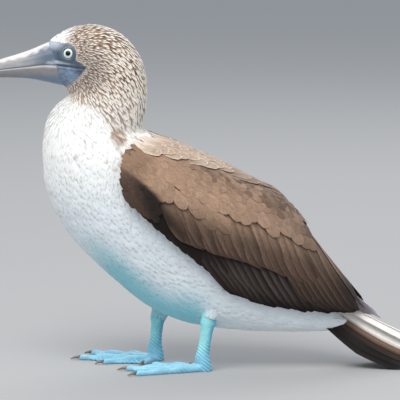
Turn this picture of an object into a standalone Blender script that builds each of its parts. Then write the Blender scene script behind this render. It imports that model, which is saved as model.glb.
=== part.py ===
"""A blue-footed booby standing at rest, a life-size still model.

Metres, +Z up. The bird faces -X, its left side is at -Y, and the floor is z = 0.
The body is one loft of planar sections, parted by thin cuts into head, neck and torso.
Each wing and the tail are a core with overlapping vanes fused to it.
"""

import math
import random

import bmesh
import bpy
from mathutils import Matrix, Vector
from mathutils.bvhtree import BVHTree

GAP = 0.0003  # between neighbouring pieces that touch
SIDES = 24  # round each body section
SEED = 11

# Body sections, from the bill's base to the tail's root. Each is a plane through a point of the
# back line and a point of the front line: back x, z, front x, z, half width, egg. A positive egg
# makes the front or belly side fuller than the back.
HEAD_SECTIONS = [
    (-0.1794, 0.3758, -0.1616, 0.3257, 0.0165, 0.10),
    (-0.1690, 0.3846, -0.1596, 0.3233, 0.0190, 0.14),
    (-0.1552, 0.3916, -0.1580, 0.3210, 0.0222, 0.12),
    (-0.1391, 0.3952, -0.1569, 0.3189, 0.0252, 0.08),
    (-0.1242, 0.3955, -0.1562, 0.3173, 0.0276, 0.04),
    (-0.1092, 0.3915, -0.1562, 0.3156, 0.0298, 0.00),
    (-0.0954, 0.3841, -0.1572, 0.3139, 0.0318, 0.00),
    (-0.0816, 0.3698, -0.1593, 0.3120, 0.0335, 0.00),
]
NECK_SECTIONS = [
    (-0.0719, 0.3518, -0.1627, 0.3093, 0.0350, 0.00),
    (-0.0672, 0.3320, -0.1679, 0.3051, 0.0372, 0.00),
    (-0.0667, 0.3123, -0.1734, 0.2990, 0.0398, 0.02),
    (-0.0690, 0.2937, -0.1791, 0.2902, 0.0435, 0.04),
    (-0.0724, 0.2768, -0.1833, 0.2786, 0.0480, 0.05),
]
TORSO_SECTIONS = [
    (-0.0640, 0.2712, -0.1863, 0.2589, 0.0530, 0.05),
    (-0.0517, 0.2641, -0.1865, 0.2392, 0.0578, 0.04),
    (-0.0310, 0.2560, -0.1846, 0.2148, 0.0615, 0.03),
    (-0.0092, 0.2456, -0.1771, 0.1904, 0.0638, 0.02),
    (0.0126, 0.2355, -0.1662, 0.1683, 0.0650, 0.00),
    (0.0345, 0.2215, -0.1495, 0.1451, 0.0650, 0.00),
    (0.0552, 0.2035, -0.1276, 0.1225, 0.0637, 0.00),
    (0.0748, 0.1840, -0.1000, 0.0975, 0.0607, 0.00),
    (0.0920, 0.1625, -0.0667, 0.0708, 0.0558, 0.00),
    (0.1069, 0.1385, -0.0287, 0.0534, 0.0490, 0.02),
    (0.1219, 0.1135, 0.0115, 0.0453, 0.0410, 0.04),
    (0.1357, 0.0905, 0.0540, 0.0412, 0.0330, 0.06),
    (0.1495, 0.0745, 0.0977, 0.0401, 0.0262, 0.08),
    (0.1621, 0.0625, 0.1345, 0.0406, 0.0200, 0.08),
]
# The closed wings' outer face, as sections of the same kind over the torso's front lines.
CONTOUR_BACKS = [
    (-0.0640, 0.2725, 0.0545),
    (-0.0517, 0.2652, 0.0640),
    (-0.0310, 0.2575, 0.0712),
    (-0.0092, 0.2475, 0.0752),
    (0.0126, 0.2385, 0.0775),
    (0.0345, 0.2270, 0.0780),
    (0.0563, 0.2154, 0.0765),
    (0.0770, 0.2055, 0.0730),
    (0.0954, 0.1904, 0.0675),
    (0.1127, 0.1718, 0.0600),
    (0.1299, 0.1463, 0.0515),
    (0.1483, 0.1207, 0.0425),
    (0.1668, 0.0952, 0.0340),
    (0.1805, 0.0685, 0.0265),
]
CONTOUR_END = (0.1950, 0.0500, 0.1640, 0.0340, 0.0200, 0.0)
BODY_SECTIONS = HEAD_SECTIONS + NECK_SECTIONS + TORSO_SECTIONS
HEAD_END = len(HEAD_SECTIONS) - 1
NECK_END = HEAD_END + len(NECK_SECTIONS)
TAIL_ROOT = len(BODY_SECTIONS) - 1
SECTION_POWER = 2.15
RING_STEP = 0.0155
CONTOUR_STEP = 0.004
CONTOUR_SIDES = 96

# Bill: culmen x, z, lower edge x, z, half width, mouth height as a share from the top.
BILL_SECTIONS = [
    (-0.1794, 0.3758, -0.1616, 0.3257, 0.0165, 0.50),
    (-0.1950, 0.3687, -0.1800, 0.3298, 0.0143, 0.46),
    (-0.2120, 0.3625, -0.2035, 0.3340, 0.0118, 0.50),
    (-0.2358, 0.3553, -0.2330, 0.3350, 0.0088, 0.51),
    (-0.2580, 0.3483, -0.2570, 0.3352, 0.0062, 0.49),
    (-0.2740, 0.3430, -0.2738, 0.3356, 0.0040, 0.48),
    (-0.2830, 0.3385, -0.2830, 0.3352, 0.0018, 0.48),
]
BILL_POWER = 2.0
BILL_RING_STEP = 0.0115
BILL_HALF_SIDES = 10
MOUTH_GAP = 0.0005
GAPE_LENGTH = 0.030
GAPE_DEPTH = 0.0016
GAPE_HEIGHT = 0.0011
GAPE_BACK = (-0.1365, 0.3465)

# Eyes and lids
EYE_CENTRE = (-0.1581, 0.3650)
EYE_RADIUS = 0.0080
EYE_OPENING = 0.0058
LID_RADIUS = 0.0067
LID_THICKNESS = 0.0011

# Legs: ankle x, y, hock x, y, z of each, toe directions in degrees from -X towards the outer side.
LEGS = {
    "left": dict(side=-1, ankle=(-0.0030, -0.038, 0.0150), hock=(0.0034, -0.037, 0.0560),
                 knee=(0.0180, -0.028, 0.0980), heading=2.0),
    "right": dict(side=1, ankle=(-0.0580, 0.038, 0.0150), hock=(-0.0545, 0.037, 0.0500),
                  knee=(-0.0380, 0.029, 0.0930), heading=6.0),
}
TARSUS_FRONT = 0.0082  # half its depth, front to back, at the hock
TARSUS_WAIST = 0.0068
TARSUS_FLATNESS = 0.72
THIGH_TOP = 0.0170
THIGH_END = 0.0098
THIGH_CUFF = 0.0060
# Toes: angle outward, length, root radius, tip radius
TOES = [
    (22.0, 0.086, 0.0056, 0.0034),
    (-3.0, 0.090, 0.0056, 0.0034),
    (-30.0, 0.068, 0.0052, 0.0032),
    (-70.0, 0.036, 0.0044, 0.0026),
]
CLAW_LENGTH = 0.0095
WEB_THICKNESS = 0.0021
WEB_LIFT = 0.0004
WEB_SCALLOP = 0.90
HEEL_RADIUS = 0.0085

# Wings: a core slab from a top line, seen from above (x, y), to a low line, seen from the side
# (x, z). It is thick where it lies on the torso.
WING_TOP_LINE = [
    (-0.0880, -0.0440), (-0.0600, -0.0340), (-0.0100, -0.0240), (0.0450, -0.0160),
    (0.0880, -0.0100), (0.1130, -0.0090), (0.1310, -0.0080), (0.1450, -0.0080),
]
WING_LOW_LINE = [
    (-0.0975, 0.2440), (-0.0960, 0.2240), (-0.0816, 0.1980), (-0.0580, 0.1740),
    (-0.0264, 0.1480), (0.0115, 0.1330), (0.0700, 0.1100), (0.1300, 0.0930),
]
CORE_DEPTH = (0.017, 0.017, 0.015, 0.013, 0.011, 0.008, 0.006, 0.005)
CORE_SINK = (0.0010, 0.0048)  # under the wing's outer face: at its shoulder, and under the vanes
CORE_SINK_ROWS = (0.25, 0.50)  # where the core steps down, as shares of its height
CORE_COLUMNS = 12
CORE_ROWS = 7
CORE_BULGE = 0.030
VANE_THICKNESS = 0.0008
VANE_ROOT_SINK = 0.0066  # a vane's root under the level of its tip
MIDLINE_GAP = 0.0006

# Vane tiers: view, count, three root points and three tip points (the tier's first, middle and
# last vane, in x, z from the side or in x, y from above), width, lift over the wing's outer face,
# step in lift from vane to vane, tilt in degrees, segments.
TIERS = {
    "primaries": ("side", 3, [(0.078, 0.109), (0.094, 0.106), (0.110, 0.103)],
                  [(0.157, 0.064), (0.169, 0.066), (0.181, 0.069)],
                  0.017, -0.0042, -0.0013, 0.0, 3),
    "secondaries": ("side", 12, [(-0.030, 0.166), (0.040, 0.146), (0.120, 0.118)],
                    [(0.026, 0.098), (0.092, 0.076), (0.160, 0.068)],
                    0.021, -0.0006, 0.0, 9.0, 3),
    "tertials": ("side", 4, [(0.050, 0.190), (0.082, 0.178), (0.106, 0.160)],
                 [(0.140, 0.084), (0.163, 0.084), (0.181, 0.076)],
                 0.021, 0.0002, 0.0, 9.0, 4),
    "greater_coverts": ("side", 10, [(-0.054, 0.200), (0.008, 0.180), (0.094, 0.150)],
                        [(-0.018, 0.151), (0.046, 0.131), (0.130, 0.102)],
                        0.021, 0.0002, 0.0, 9.0, 3),
    "median_coverts": ("side", 9, [(-0.074, 0.232), (-0.010, 0.212), (0.080, 0.182)],
                       [(-0.046, 0.193), (0.020, 0.165), (0.116, 0.138)],
                       0.022, 0.0006, 0.0, 9.0, 3),
    "scapulars": ("top", 6, [(-0.066, -0.040), (-0.010, -0.034), (0.070, -0.018)],
                  [(-0.016, -0.052), (0.060, -0.036), (0.134, -0.012)],
                  0.027, 0.0014, 0.0, -7.0, 3),
}
FAR_PRIMARY_REACH = 0.020  # the far wing's tips show past the near wing's

# Tail: the ridge line in side view, the roof's pitch, and its vanes
TAIL_RIDGE = [(0.1660, 0.0680), (0.2230, 0.0405), (0.2870, 0.0108)]
TAIL_PITCH = (54.0, 38.0)  # of the roof, at the root and at the tip
MIDDLE_PITCH = 18.0  # the middle pair lies flatter and covers the ridge
RECTRICES = 6  # on each side
RECTRIX_WIDTH = 0.020
RECTRIX_STEP = 0.0068
RECTRIX_DROP = 0.0014
RECTRIX_REACH = 0.62  # the outermost, as a share of the middle ones
RECTRIX_ROOT = 0.04
TAIL_BLOCK_RINGS = ((1.0, 0.0), (0.86, 0.112), (0.62, 0.23), (0.34, 0.32))  # size, place
TAIL_BLOCK_DROP = 0.009
TAIL_ROOM = 0.0020
TAIL_HALF_ROOM = 0.062
FLOOR_CLEARANCE = 0.0012

COLOURS = {
    "plumage_white": ((0.80, 0.80, 0.77), 0.85),
    "head_buff": ((0.62, 0.50, 0.38), 0.85),
    "bill_horn": ((0.50, 0.52, 0.56), 0.45),
    "eye": ((0.82, 0.84, 0.66), 0.10),
    "wing_brown": ((0.23, 0.145, 0.095), 0.75),
    "tail_brown": ((0.40, 0.31, 0.23), 0.75),
    "leg_turquoise": ((0.16, 0.52, 0.56), 0.50),
    "foot_blue": ((0.16, 0.46, 0.68), 0.50),
}


def clear_scene():
    """Remove whatever the file starts with."""
    for item in list(bpy.data.objects):
        bpy.data.objects.remove(item)


def material(name):
    """The named Principled material, made on first use."""
    found = bpy.data.materials.get(name)
    if found:
        return found
    colour, roughness = COLOURS[name]
    made = bpy.data.materials.new(name)
    made.use_nodes = True
    shader = made.node_tree.nodes["Principled BSDF"]
    shader.inputs["Base Color"].default_value = (*colour, 1.0)
    shader.inputs["Roughness"].default_value = roughness
    shader.inputs["Metallic"].default_value = 0.0
    return made


def spline(rows, t):
    """Catmull-Rom value of equal-length rows at t, where a whole t is a row."""
    last = len(rows) - 1
    i = min(int(t), last - 1)
    f = t - i
    p0, p1, p2, p3 = (rows[max(0, min(last, k))] for k in (i - 1, i, i + 1, i + 2))
    out = []
    for a, b, c, d in zip(p0, p1, p2, p3):
        out.append(0.5 * (2 * b + (c - a) * f + (2 * a - 5 * b + 4 * c - d) * f * f
                          + (3 * b - a - 3 * c + d) * f ** 3))
    return out


def arc_steps(rows, step, start=0.0, end=None):
    """Values of t, evenly spaced by the longer of the back and front lines' lengths."""
    end = len(rows) - 1 if end is None else end
    fine = [start + (end - start) * k / 200 for k in range(201)]
    travel = [0.0]
    for a, b in zip(fine, fine[1:]):
        pa, pb = spline(rows, a), spline(rows, b)
        back = math.hypot(pb[0] - pa[0], pb[1] - pa[1])
        front = math.hypot(pb[2] - pa[2], pb[3] - pa[3])
        travel.append(travel[-1] + max(back, front))
    count = max(1, round(travel[-1] / step))
    out = []
    for k in range(count + 1):
        goal = travel[-1] * k / count
        j = next((n for n, d in enumerate(travel) if d >= goal - 1e-12), 200)
        out.append(fine[j])
    return out


def section_point(row, angle, power, grow=0.0):
    """A point of a section: angle 0 is the left side, 90 degrees the back line."""
    bx, bz, fx, fz, half_width = row[:5]
    egg = row[5] if len(row) > 5 else 0.0
    back, front = Vector((bx, 0, bz)), Vector((fx, 0, fz))
    half = (back - front) / 2
    s, c = math.sin(angle), math.cos(angle)
    up = math.copysign(abs(s) ** (2 / power), s)
    out = math.copysign(abs(c) ** (2 / power), c) * (1 - egg * up)
    reach = half.length + grow
    centre = (back + front) / 2
    return centre + half.normalized() * (up * reach) + Vector((0, -out * (half_width + grow), 0))


def section_normal(row):
    """Unit normal of a section's plane, pointing from the tail towards the bill."""
    along = Vector((row[0] - row[2], 0, row[1] - row[3])).normalized()
    return Vector((-along.z, 0, along.x))


def mesh_object(name, points, faces, finish=None, smooth=True):
    """A linked mesh object."""
    mesh = bpy.data.meshes.new(name)
    mesh.from_pydata([tuple(p) for p in points], [], faces)
    if smooth:
        mesh.shade_smooth()
    item = bpy.data.objects.new(name, mesh)
    bpy.context.scene.collection.objects.link(item)
    if finish:
        mesh.materials.append(material(finish))
    return item


def loft(rings):
    """Points and faces of a closed loft through rings of equal count, with capped ends."""
    count = len(rings[0])
    points = [p for ring in rings for p in ring]
    faces = []
    for r in range(len(rings) - 1):
        for k in range(count):
            a, b = r * count + k, r * count + (k + 1) % count
            # One diagonal throughout, so that a cutter's facets match those of its solid.
            faces += [(a, b, b + count), (a, b + count, a + count)]
    faces.append(tuple(reversed(range(count))))
    faces.append(tuple(range(len(points) - count, len(points))))
    return points, faces


def outward(item):
    """Turn the faces of a closed mesh outwards."""
    shape = bmesh.new()
    shape.from_mesh(item.data)
    bmesh.ops.recalc_face_normals(shape, faces=shape.faces)
    shape.to_mesh(item.data)
    shape.free()
    return item


def body_loft(name, rows, start, end, finish, grow=0.0, ends=(0.0, 0.0), step=RING_STEP):
    """A closed length of the body, its end sections moved in along their normals by ends."""
    stations = arc_steps(rows, step, start, end)
    rings = []
    for n, t in enumerate(stations):
        row = spline(rows, t)
        shift = Vector()
        if n == 0:
            shift = -section_normal(row) * ends[0]
        if n == len(stations) - 1:
            shift = section_normal(row) * ends[1]
        rings.append([section_point(row, 2 * math.pi * k / SIDES, SECTION_POWER, grow) + shift
                      for k in range(SIDES)])
    points, faces = loft(rings)
    return outward(mesh_object(name, points, faces, finish))


def evaluated_copy(item, name):
    """A new mesh of the object as its modifiers leave it, in world space."""
    bpy.context.view_layer.update()
    graph = bpy.context.evaluated_depsgraph_get()
    mesh = bpy.data.meshes.new_from_object(item.evaluated_get(graph))
    mesh.transform(item.matrix_world)
    mesh.name = name
    return mesh


def largest_shell(mesh):
    """Keep only the closed surface with the most volume."""
    shape = bmesh.new()
    shape.from_mesh(mesh)
    bmesh.ops.triangulate(shape, faces=shape.faces)
    left = set(shape.faces)
    shells = []
    while left:
        seed = left.pop()
        shell, edge = {seed}, [seed]
        while edge:
            for side in edge.pop().edges:
                for near in side.link_faces:
                    if near in left:
                        left.discard(near)
                        shell.add(near)
                        edge.append(near)
        volume = sum(f.verts[0].co.dot(f.verts[1].co.cross(f.verts[2].co)) for f in shell) / 6
        shells.append((volume, shell))
    best = max(shells, key=lambda pair: pair[0])[1]
    bmesh.ops.delete(shape, geom=[f for f in shape.faces if f not in best], context="FACES")
    loose = [v for v in shape.verts if not v.link_faces]
    bmesh.ops.delete(shape, geom=loose, context="VERTS")
    shape.to_mesh(mesh)
    shape.free()


def boolean(item, others, operation, solver):
    """Apply one Boolean against a collection of objects, then remove them."""
    group = bpy.data.collections.new("operands")
    bpy.context.scene.collection.children.link(group)
    for other in others:
        bpy.context.scene.collection.objects.unlink(other)
        group.objects.link(other)
    step = item.modifiers.new("fuse", "BOOLEAN")
    step.operation = operation
    step.operand_type = "COLLECTION"
    step.collection = group
    step.solver = solver
    mesh = evaluated_copy(item, item.name)
    item.modifiers.clear()
    item.data = mesh
    item.matrix_world = Matrix.Identity(4)
    for other in others:
        bpy.data.objects.remove(other)
    bpy.data.collections.remove(group)


def fuse(base, pieces, cutters, finish, solver="MANIFOLD"):
    """Join pieces to the base, cut the cutters away and keep one closed surface."""
    if pieces:
        boolean(base, pieces, "UNION", solver)
    if cutters:
        boolean(base, cutters, "DIFFERENCE", solver)
    largest_shell(base.data)
    base.data.materials.clear()
    base.data.materials.append(material(finish))
    base.data.shade_smooth()
    base.data.set_sharp_from_angle(angle=math.radians(35))
    return base


def ball(name, centre, radius, segments=16, rings=10, finish=None):
    """A sphere whose poles lie along Y."""
    shape = bmesh.new()
    turn = Matrix.Rotation(math.radians(90), 4, "X")
    bmesh.ops.create_uvsphere(shape, u_segments=segments, v_segments=rings, radius=radius,
                              matrix=Matrix.Translation(centre) @ turn)
    mesh = bpy.data.meshes.new(name)
    shape.to_mesh(mesh)
    shape.free()
    item = bpy.data.objects.new(name, mesh)
    bpy.context.scene.collection.objects.link(item)
    mesh.shade_smooth()
    if finish:
        mesh.materials.append(material(finish))
    return item


def box(name, low, high):
    """A plain box between two corners."""
    points = [(x, y, z) for x in (low[0], high[0]) for y in (low[1], high[1])
              for z in (low[2], high[2])]
    faces = [(0, 1, 3, 2), (4, 6, 7, 5), (0, 4, 5, 1), (2, 3, 7, 6), (0, 2, 6, 4), (1, 5, 7, 3)]
    return outward(mesh_object(name, points, faces, smooth=False))


def tube(name, path, widths, heights, sides=10, floor=None, up=Vector((0, 0, 1))):
    """A closed tube of elliptic rings along a path; with a floor, its underside is flat on it."""
    rings = []
    for n, centre in enumerate(path):
        ahead = path[min(n + 1, len(path) - 1)] - path[max(n - 1, 0)]
        ahead.normalize()
        across = ahead.cross(up).normalized()
        rise = across.cross(ahead).normalized()
        ring = []
        for k in range(sides):
            a = 2 * math.pi * k / sides
            p = centre + across * (math.cos(a) * widths[n]) + rise * (math.sin(a) * heights[n])
            if floor is not None:
                p.z = max(p.z, floor)
            ring.append(p)
        rings.append(ring)
    points, faces = loft(rings)
    return outward(mesh_object(name, points, faces))


def torus(name, centre, axis, radius, thickness, around=18, section=6):
    """A ring, such as an eyelid's rim."""
    axis = axis.normalized()
    first = axis.orthogonal().normalized()
    second = axis.cross(first)
    points = []
    faces = []
    for i in range(around):
        a = 2 * math.pi * i / around
        out = first * math.cos(a) + second * math.sin(a)
        for j in range(section):
            b = 2 * math.pi * j / section
            points.append(centre + out * (radius + thickness * math.cos(b))
                          + axis * (thickness * math.sin(b)))
            faces.append((i * section + j, ((i + 1) % around) * section + j,
                          ((i + 1) % around) * section + (j + 1) % section,
                          i * section + (j + 1) % section))
    return outward(mesh_object(name, points, faces))


def surface_of(item):
    """A search tree over an object's mesh."""
    mesh = item.data
    return BVHTree.FromPolygons([v.co.copy() for v in mesh.vertices],
                                [tuple(p.vertices) for p in mesh.polygons])


def side_hit(tree, x, z):
    """The left-side point of a surface at x, z in side view, or the nearest one to it."""
    hit = tree.ray_cast(Vector((x, -1.0, z)), Vector((0, 1, 0)))
    if hit[0] is not None and hit[0].y < -0.004:
        return hit[0]
    return tree.find_nearest(Vector((x, -0.012, z)))[0]


def top_hit(tree, x, y):
    """The upper point of a surface at x, y from above, or the nearest one to it."""
    hit = tree.ray_cast(Vector((x, y, 1.0)), Vector((0, 0, -1)))
    return hit[0] if hit[0] is not None else tree.find_nearest(Vector((x, y, 0.2)))[0]


def frame_at(tree, a, b, view="side", reach=0.006):
    """Point and smoothed outward normal of a surface, at x, z from the left or x, y from above."""
    look = side_hit if view == "side" else top_hit
    out = Vector((0, -1, 0)) if view == "side" else Vector((0, 0, 1))
    centre = look(tree, a, b)
    normal = ((look(tree, a + reach, b) - look(tree, a - reach, b)).cross(
        look(tree, a, b + reach) - look(tree, a, b - reach)))
    if normal.length < 1e-9:
        return centre, out
    normal.normalize()
    return centre, normal if normal.dot(out) > 0 else -normal


def nearest_frame(tree, point, reach=0.005):
    """Nearest point of a surface, and the mean normal round it."""
    centre = tree.find_nearest(point)[0]
    total = Vector()
    for step in ((0, 0, 0), (1, 0, 0), (-1, 0, 0), (0, 1, 0), (0, -1, 0), (0, 0, 1), (0, 0, -1)):
        total += tree.find_nearest(centre + Vector(step) * reach)[1]
    return centre, total.normalized()


def contour_tree():
    """The closed wings' outer face as a fine surface, used only to place the vanes."""
    rows = []
    for (bx, bz, half_width), (_, _, fx, fz, _, _) in zip(CONTOUR_BACKS, TORSO_SECTIONS):
        rows.append((bx, bz, fx, fz, half_width, 0.0))
    rows.insert(0, NECK_SECTIONS[-1])
    rows.append(CONTOUR_END)
    rings = []
    for t in arc_steps(rows, CONTOUR_STEP):
        row = spline(rows, t)
        rings.append([section_point(row, 2 * math.pi * k / CONTOUR_SIDES, SECTION_POWER)
                      for k in range(CONTOUR_SIDES)])
    guide = mesh_object("contour_guide", *loft(rings))
    outward(guide)
    tree = surface_of(guide)
    bpy.data.objects.remove(guide)
    return tree


VANE_PROFILE = [(0.0, 0.50), (0.22, 0.82), (0.55, 1.0), (0.80, 0.92), (0.93, 0.66), (1.0, 0.22)]


def profile_width(t):
    """A vane's width at t of its length, as a share of its widest."""
    for (t0, w0), (t1, w1) in zip(VANE_PROFILE, VANE_PROFILE[1:]):
        if t <= t1:
            return w0 + (w1 - w0) * (t - t0) / (t1 - t0)
    return VANE_PROFILE[-1][1]


def vane_mesh(name, frames, width, thickness):
    """A thin closed vane. Each frame is a centre, the direction across and the normal."""
    points = []
    faces = []
    last = len(frames) - 1
    for t, (centre, across, normal) in frames:
        half = profile_width(t) * width / 2
        thick = thickness * (1.0 - 0.35 * t) / 2
        for side, face in ((-1, 1), (1, 1), (1, -1), (-1, -1)):
            points.append(centre + across * (side * half) + normal * (face * thick))
    for n in range(last):
        a, b = 4 * n, 4 * n + 4
        # The two broad faces are split along the same diagonal.
        faces += [(a, a + 1, b + 1), (a, b + 1, b), (a + 3, b + 2, a + 2), (a + 3, b + 3, b + 2)]
        faces += [(a + 1, a + 2, b + 2), (a + 1, b + 2, b + 1),
                  (a + 3, a, b), (a + 3, b, b + 3)]
    faces += [(0, 3, 2), (0, 2, 1)]
    end = 4 * last
    faces += [(end, end + 1, end + 2), (end, end + 2, end + 3)]
    return outward(mesh_object(name, points, faces))


def blend(three, t):
    """Quadratic through three points at t = 0, 0.5 and 1."""
    a, b, c = (Vector(p) for p in three)
    return a * (2 * (t - 0.5) * (t - 1)) + b * (4 * t * (1 - t)) + c * (2 * t * (t - 0.5))


def tier_vanes(tree, tier, side, draw):
    """The vanes of one tier of a wing."""
    view, count, roots, tips, width, lift, stack, tilt, segments = TIERS[tier]
    vanes = []
    for n in range(count):
        u = n / (count - 1)
        root, tip = blend(roots, u), blend(tips, u)
        run = (tip - root).normalized()
        tip = tip + run * draw.uniform(-0.0022, 0.0022)
        if side > 0 and tier == "primaries":
            tip = tip + run * FAR_PRIMARY_REACH
        vane_width = width * draw.uniform(0.94, 1.06)
        roll = math.radians(tilt + draw.uniform(-0.6, 0.6))
        places = []
        for k in range(segments + 1):
            t = k / segments
            flat = root.lerp(tip, t)
            centre, normal = frame_at(tree, flat.x, flat.y, view)
            rise = lift + stack * n - VANE_ROOT_SINK * (1 - t) ** 2
            places.append((t, centre + normal * rise, normal))
        frames = []
        for k, (t, centre, normal) in enumerate(places):
            ahead = places[min(k + 1, segments)][1] - places[max(k - 1, 0)][1]
            ahead.normalize()
            across = ahead.cross(normal).normalized()
            normal = across.cross(ahead)
            turn = Matrix.Rotation(roll, 3, ahead)
            across, normal = turn @ across, turn @ normal
            if side > 0:
                centre, across, normal = (Vector((v.x, -v.y, v.z)) for v in (centre, across, normal))
            frames.append((t, (centre, across, normal)))
        vanes.append(vane_mesh(f"{tier}_{n}", frames, vane_width, VANE_THICKNESS))
    return vanes


def wing_core(tree, side):
    """The slab that carries a wing's vanes, its inner side sunk into the torso's place."""
    columns = CORE_COLUMNS
    outer, inner = [], []
    for i in range(columns):
        t = (len(WING_TOP_LINE) - 1) * i / (columns - 1)
        top, low = top_hit(tree, *spline(WING_TOP_LINE, t)), side_hit(tree, *spline(WING_LOW_LINE, t))
        depth = spline([(d,) for d in CORE_DEPTH], t)[0]
        for j in range(CORE_ROWS):
            v = j / (CORE_ROWS - 1)
            push = Vector((0, -1, 0.5)) * (CORE_BULGE * math.sin(math.pi * v))
            centre, normal = nearest_frame(tree, top.lerp(low, v) + push)
            step = (v - CORE_SINK_ROWS[0]) / (CORE_SINK_ROWS[1] - CORE_SINK_ROWS[0])
            step = max(0.0, min(1.0, step)) * min(1.0, i / 3)
            sink = CORE_SINK[0] + (CORE_SINK[1] - CORE_SINK[0]) * step
            outer.append(centre - normal * sink)
            inner.append(centre - normal * (sink + depth))
    points = outer + inner
    if side > 0:
        points = [Vector((p.x, -p.y, p.z)) for p in points]
    base = len(outer)
    faces = []
    for i in range(columns - 1):
        for j in range(CORE_ROWS - 1):
            a = i * CORE_ROWS + j
            b = a + CORE_ROWS
            faces += [(a, a + 1, b + 1), (a, b + 1, b)]
            faces += [(base + a, base + b + 1, base + a + 1), (base + a, base + b, base + b + 1)]
        for j in (0, CORE_ROWS - 1):
            a = i * CORE_ROWS + j
            b = a + CORE_ROWS
            faces += [(a, b, base + b), (a, base + b, base + a)]
    for i in (0, columns - 1):
        for j in range(CORE_ROWS - 1):
            a = i * CORE_ROWS + j
            faces += [(a, a + 1, base + a + 1), (a, base + a + 1, base + a)]
    return outward(mesh_object("core", points, faces))


def torso_cutter(grow):
    """The torso's shape, larger all round by grow."""
    return body_loft("torso_cutter", BODY_SECTIONS, NECK_END, TAIL_ROOT, None, grow=grow)


def make_body():
    """Head, neck and torso from one run of sections, parted by thin cuts."""
    cut = GAP / 2
    rows = BODY_SECTIONS
    head = body_loft("head", rows, 0, HEAD_END, "head_buff", ends=(0.0, cut), step=0.010)
    body_loft("neck", rows, HEAD_END, NECK_END, "head_buff", ends=(cut, cut))
    body_loft("torso", rows, NECK_END, TAIL_ROOT, "plumage_white", ends=(cut, 0.0))
    finish_head(head)


def finish_head(head):
    """Lids, eye sockets and the mouth line on the head."""
    tree = surface_of(head)
    lids, cutters = [], []
    for side in (-1, 1):
        skin, normal = frame_at(tree, *EYE_CENTRE, reach=0.004)
        sink = math.sqrt(EYE_RADIUS ** 2 - EYE_OPENING ** 2)
        if side > 0:
            skin, normal = Vector((skin.x, -skin.y, skin.z)), Vector((normal.x, -normal.y, normal.z))
        lids.append(torus(f"lid_{side}", skin, normal, LID_RADIUS, LID_THICKNESS))
        centre = skin - normal * sink
        cutters.append(ball(f"socket_{side}", centre, EYE_RADIUS + GAP))
        ball("eye_left" if side < 0 else "eye_right", centre, EYE_RADIUS, finish="eye")
        # The mouth line goes on over the bare skin to the gape.
        front = Vector((GAPE_BACK[0] - GAPE_LENGTH - 0.012, 0, 0.3530))
        back = Vector((GAPE_BACK[0], 0, GAPE_BACK[1]))
        path = []
        for k in range(6):
            p = front.lerp(back, k / 5)
            flesh = side_hit(tree, p.x, p.z)
            path.append(Vector((flesh.x, flesh.y * -side, flesh.z)))
        cutters.append(tube(f"gape_{side}", path, [GAPE_DEPTH] * 5 + [0.0006],
                            [GAPE_HEIGHT / 2] * 5 + [0.0003], sides=6))
    fuse(head, lids, cutters, "head_buff")


def bill_ring(row, share, upper):
    """One ring of a mandible: its part of the section, closed flat along the mouth."""
    half_height = math.hypot(row[0] - row[2], row[1] - row[3]) / 2
    level = 1 - 2 * share + (MOUTH_GAP / 2 / half_height) * (1 if upper else -1)
    level = max(-0.95, min(0.95, level))
    start = math.asin(math.copysign(abs(level) ** (BILL_POWER / 2), level))
    first, last = (start, math.pi - start) if upper else (start, -math.pi - start)
    return [section_point(row, first + (last - first) * k / BILL_HALF_SIDES, BILL_POWER)
            for k in range(BILL_HALF_SIDES + 1)]


def make_bill():
    """Upper and lower mandibles, shut, with the mouth line between them."""
    for name, upper in (("bill_upper", True), ("bill_lower", False)):
        rows = BILL_SECTIONS if upper else BILL_SECTIONS[:-1]
        rings = []
        for n, t in enumerate(arc_steps(rows, BILL_RING_STEP)):
            row = spline(rows, t)
            shift = section_normal(row) * (GAP if n == 0 else 0.0)
            ring = bill_ring((*row[:5], 0.0), row[5], upper)
            rings.append([p + shift for p in ring])
        points, faces = loft(rings)
        item = outward(mesh_object(name, points, faces, "bill_horn"))
        item.data.set_sharp_from_angle(angle=math.radians(40))


def make_leg(name, leg):
    """Feathered thigh, bare tarsus and webbed foot of one leg."""
    ankle, hock, knee = (Vector(leg[k]) for k in ("ankle", "hock", "knee"))
    shank = (hock - ankle).normalized()
    path, deep, wide = [], [], []
    for k in range(6):
        t = k / 5
        path.append(ankle.lerp(hock, t))
        waist = TARSUS_WAIST + (TARSUS_FRONT - TARSUS_WAIST) * (2 * t - 1) ** 2
        deep.append(waist)
        wide.append(waist * TARSUS_FLATNESS)
    tarsus = tube(f"tarsus_{name}", path, deep, wide, sides=14, up=Vector((0, 1, 0)))
    tarsus.data.materials.append(material("leg_turquoise"))
    start = hock + shank * GAP
    cuff = start + shank * THIGH_CUFF
    thigh_path = [start, cuff, cuff.lerp(knee, 0.5), knee + (knee - hock) * 0.4]
    sizes = [THIGH_END, THIGH_END * 1.25, THIGH_TOP * 0.9, THIGH_TOP * 1.1]
    thigh = tube("thigh_" + name, thigh_path, sizes, [s * 0.85 for s in sizes], sides=14,
                 up=Vector((0, 1, 0)))
    fuse(thigh, [], [torso_cutter(GAP)], "plumage_white")
    make_foot(name, leg, ankle, shank)


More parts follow.
